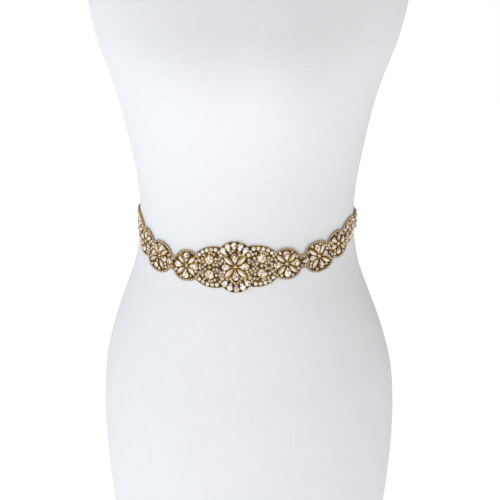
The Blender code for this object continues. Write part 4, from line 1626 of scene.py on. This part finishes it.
def make_tail(name, side, table):
    """One tail of the bow, from under the knot down the back of the torso."""
    keyed = [(i, *values) for i, values in enumerate(table)]
    count = (len(table) - 1) * TAIL_SUBSTEPS
    rows = []
    for i in range(count + 1):
        outer, outer_drop, inner, inner_drop, outer_lift, inner_lift_here = [
            value * MM for value in spline_row(keyed, i / TAIL_SUBSTEPS)
        ]
        row = []
        for w in across(TAIL_ACROSS):
            part = (w + 1) / 2
            x = side * (outer + (inner - outer) * part)
            drop = outer_drop + (inner_drop - outer_drop) * part
            lift = outer_lift + (inner_lift_here - outer_lift) * part + TAIL_BOW * (1 - w * w)
            fade = 1 - smooth(i / count / TAIL_CREASE_OVER)
            lift += crease_lift(TAIL_CREASES, w, i / count * TAIL_CREASE_DRIFT, fade)
            row.append(back_point(x, drop, lift))
        rows.append(row)
    make_strip(f"satin_{name}", name, rows)


# Studio

def add_lamp(name, place, aim, size, power, colour):
    """A square soft lamp that looks at a point."""
    data = bpy.data.lights.new(name, "AREA")
    data.size = size
    data.energy = power
    data.color = colour
    lamp = bpy.data.objects.new(name, data)
    lamp.location = place
    lamp.rotation_euler = (Vector(aim) - Vector(place)).to_track_quat("-Z", "Y").to_euler()
    bpy.context.scene.collection.objects.link(lamp)


def make_studio():
    """Pale floor, soft lights and an even white surround."""
    bpy.ops.object.select_all(action="DESELECT")
    bpy.ops.mesh.primitive_circle_add(vertices=FLOOR_SIDES, radius=FLOOR_RADIUS, fill_type="NGON")
    floor = bpy.context.object
    floor.name = "floor"
    floor.data.materials.append(floor_finish())
    world = bpy.data.worlds.new("studio")
    world.use_nodes = True
    background = world.node_tree.nodes["Background"]
    background.inputs["Color"].default_value = SURROUND_COLOUR
    background.inputs["Strength"].default_value = SURROUND_POWER
    surround = world.node_tree.nodes.new("ShaderNodeBackground")
    surround.inputs["Color"].default_value = WHITE
    ray = world.node_tree.nodes.new("ShaderNodeLightPath")
    choice = world.node_tree.nodes.new("ShaderNodeMixShader")
    links = world.node_tree.links
    links.new(ray.outputs["Is Camera Ray"], choice.inputs[0])
    links.new(background.outputs[0], choice.inputs[1])
    links.new(surround.outputs[0], choice.inputs[2])
    links.new(choice.outputs[0], world.node_tree.nodes["World Output"].inputs["Surface"])
    bpy.context.scene.world = world
    for lamp in LAMPS:
        add_lamp(*lamp)
    bpy.context.scene.view_settings.view_transform = "Standard"


make_studio()
make_form()
make_applique()
make_ribbon("ribbon_left", -1)
make_ribbon("ribbon_right", 1)
make_knot()
for loop in LOOPS:
    make_loop(*loop)
make_tail("tail_left", -1, TAIL_LEFT)
make_tail("tail_right", 1, TAIL_RIGHT)
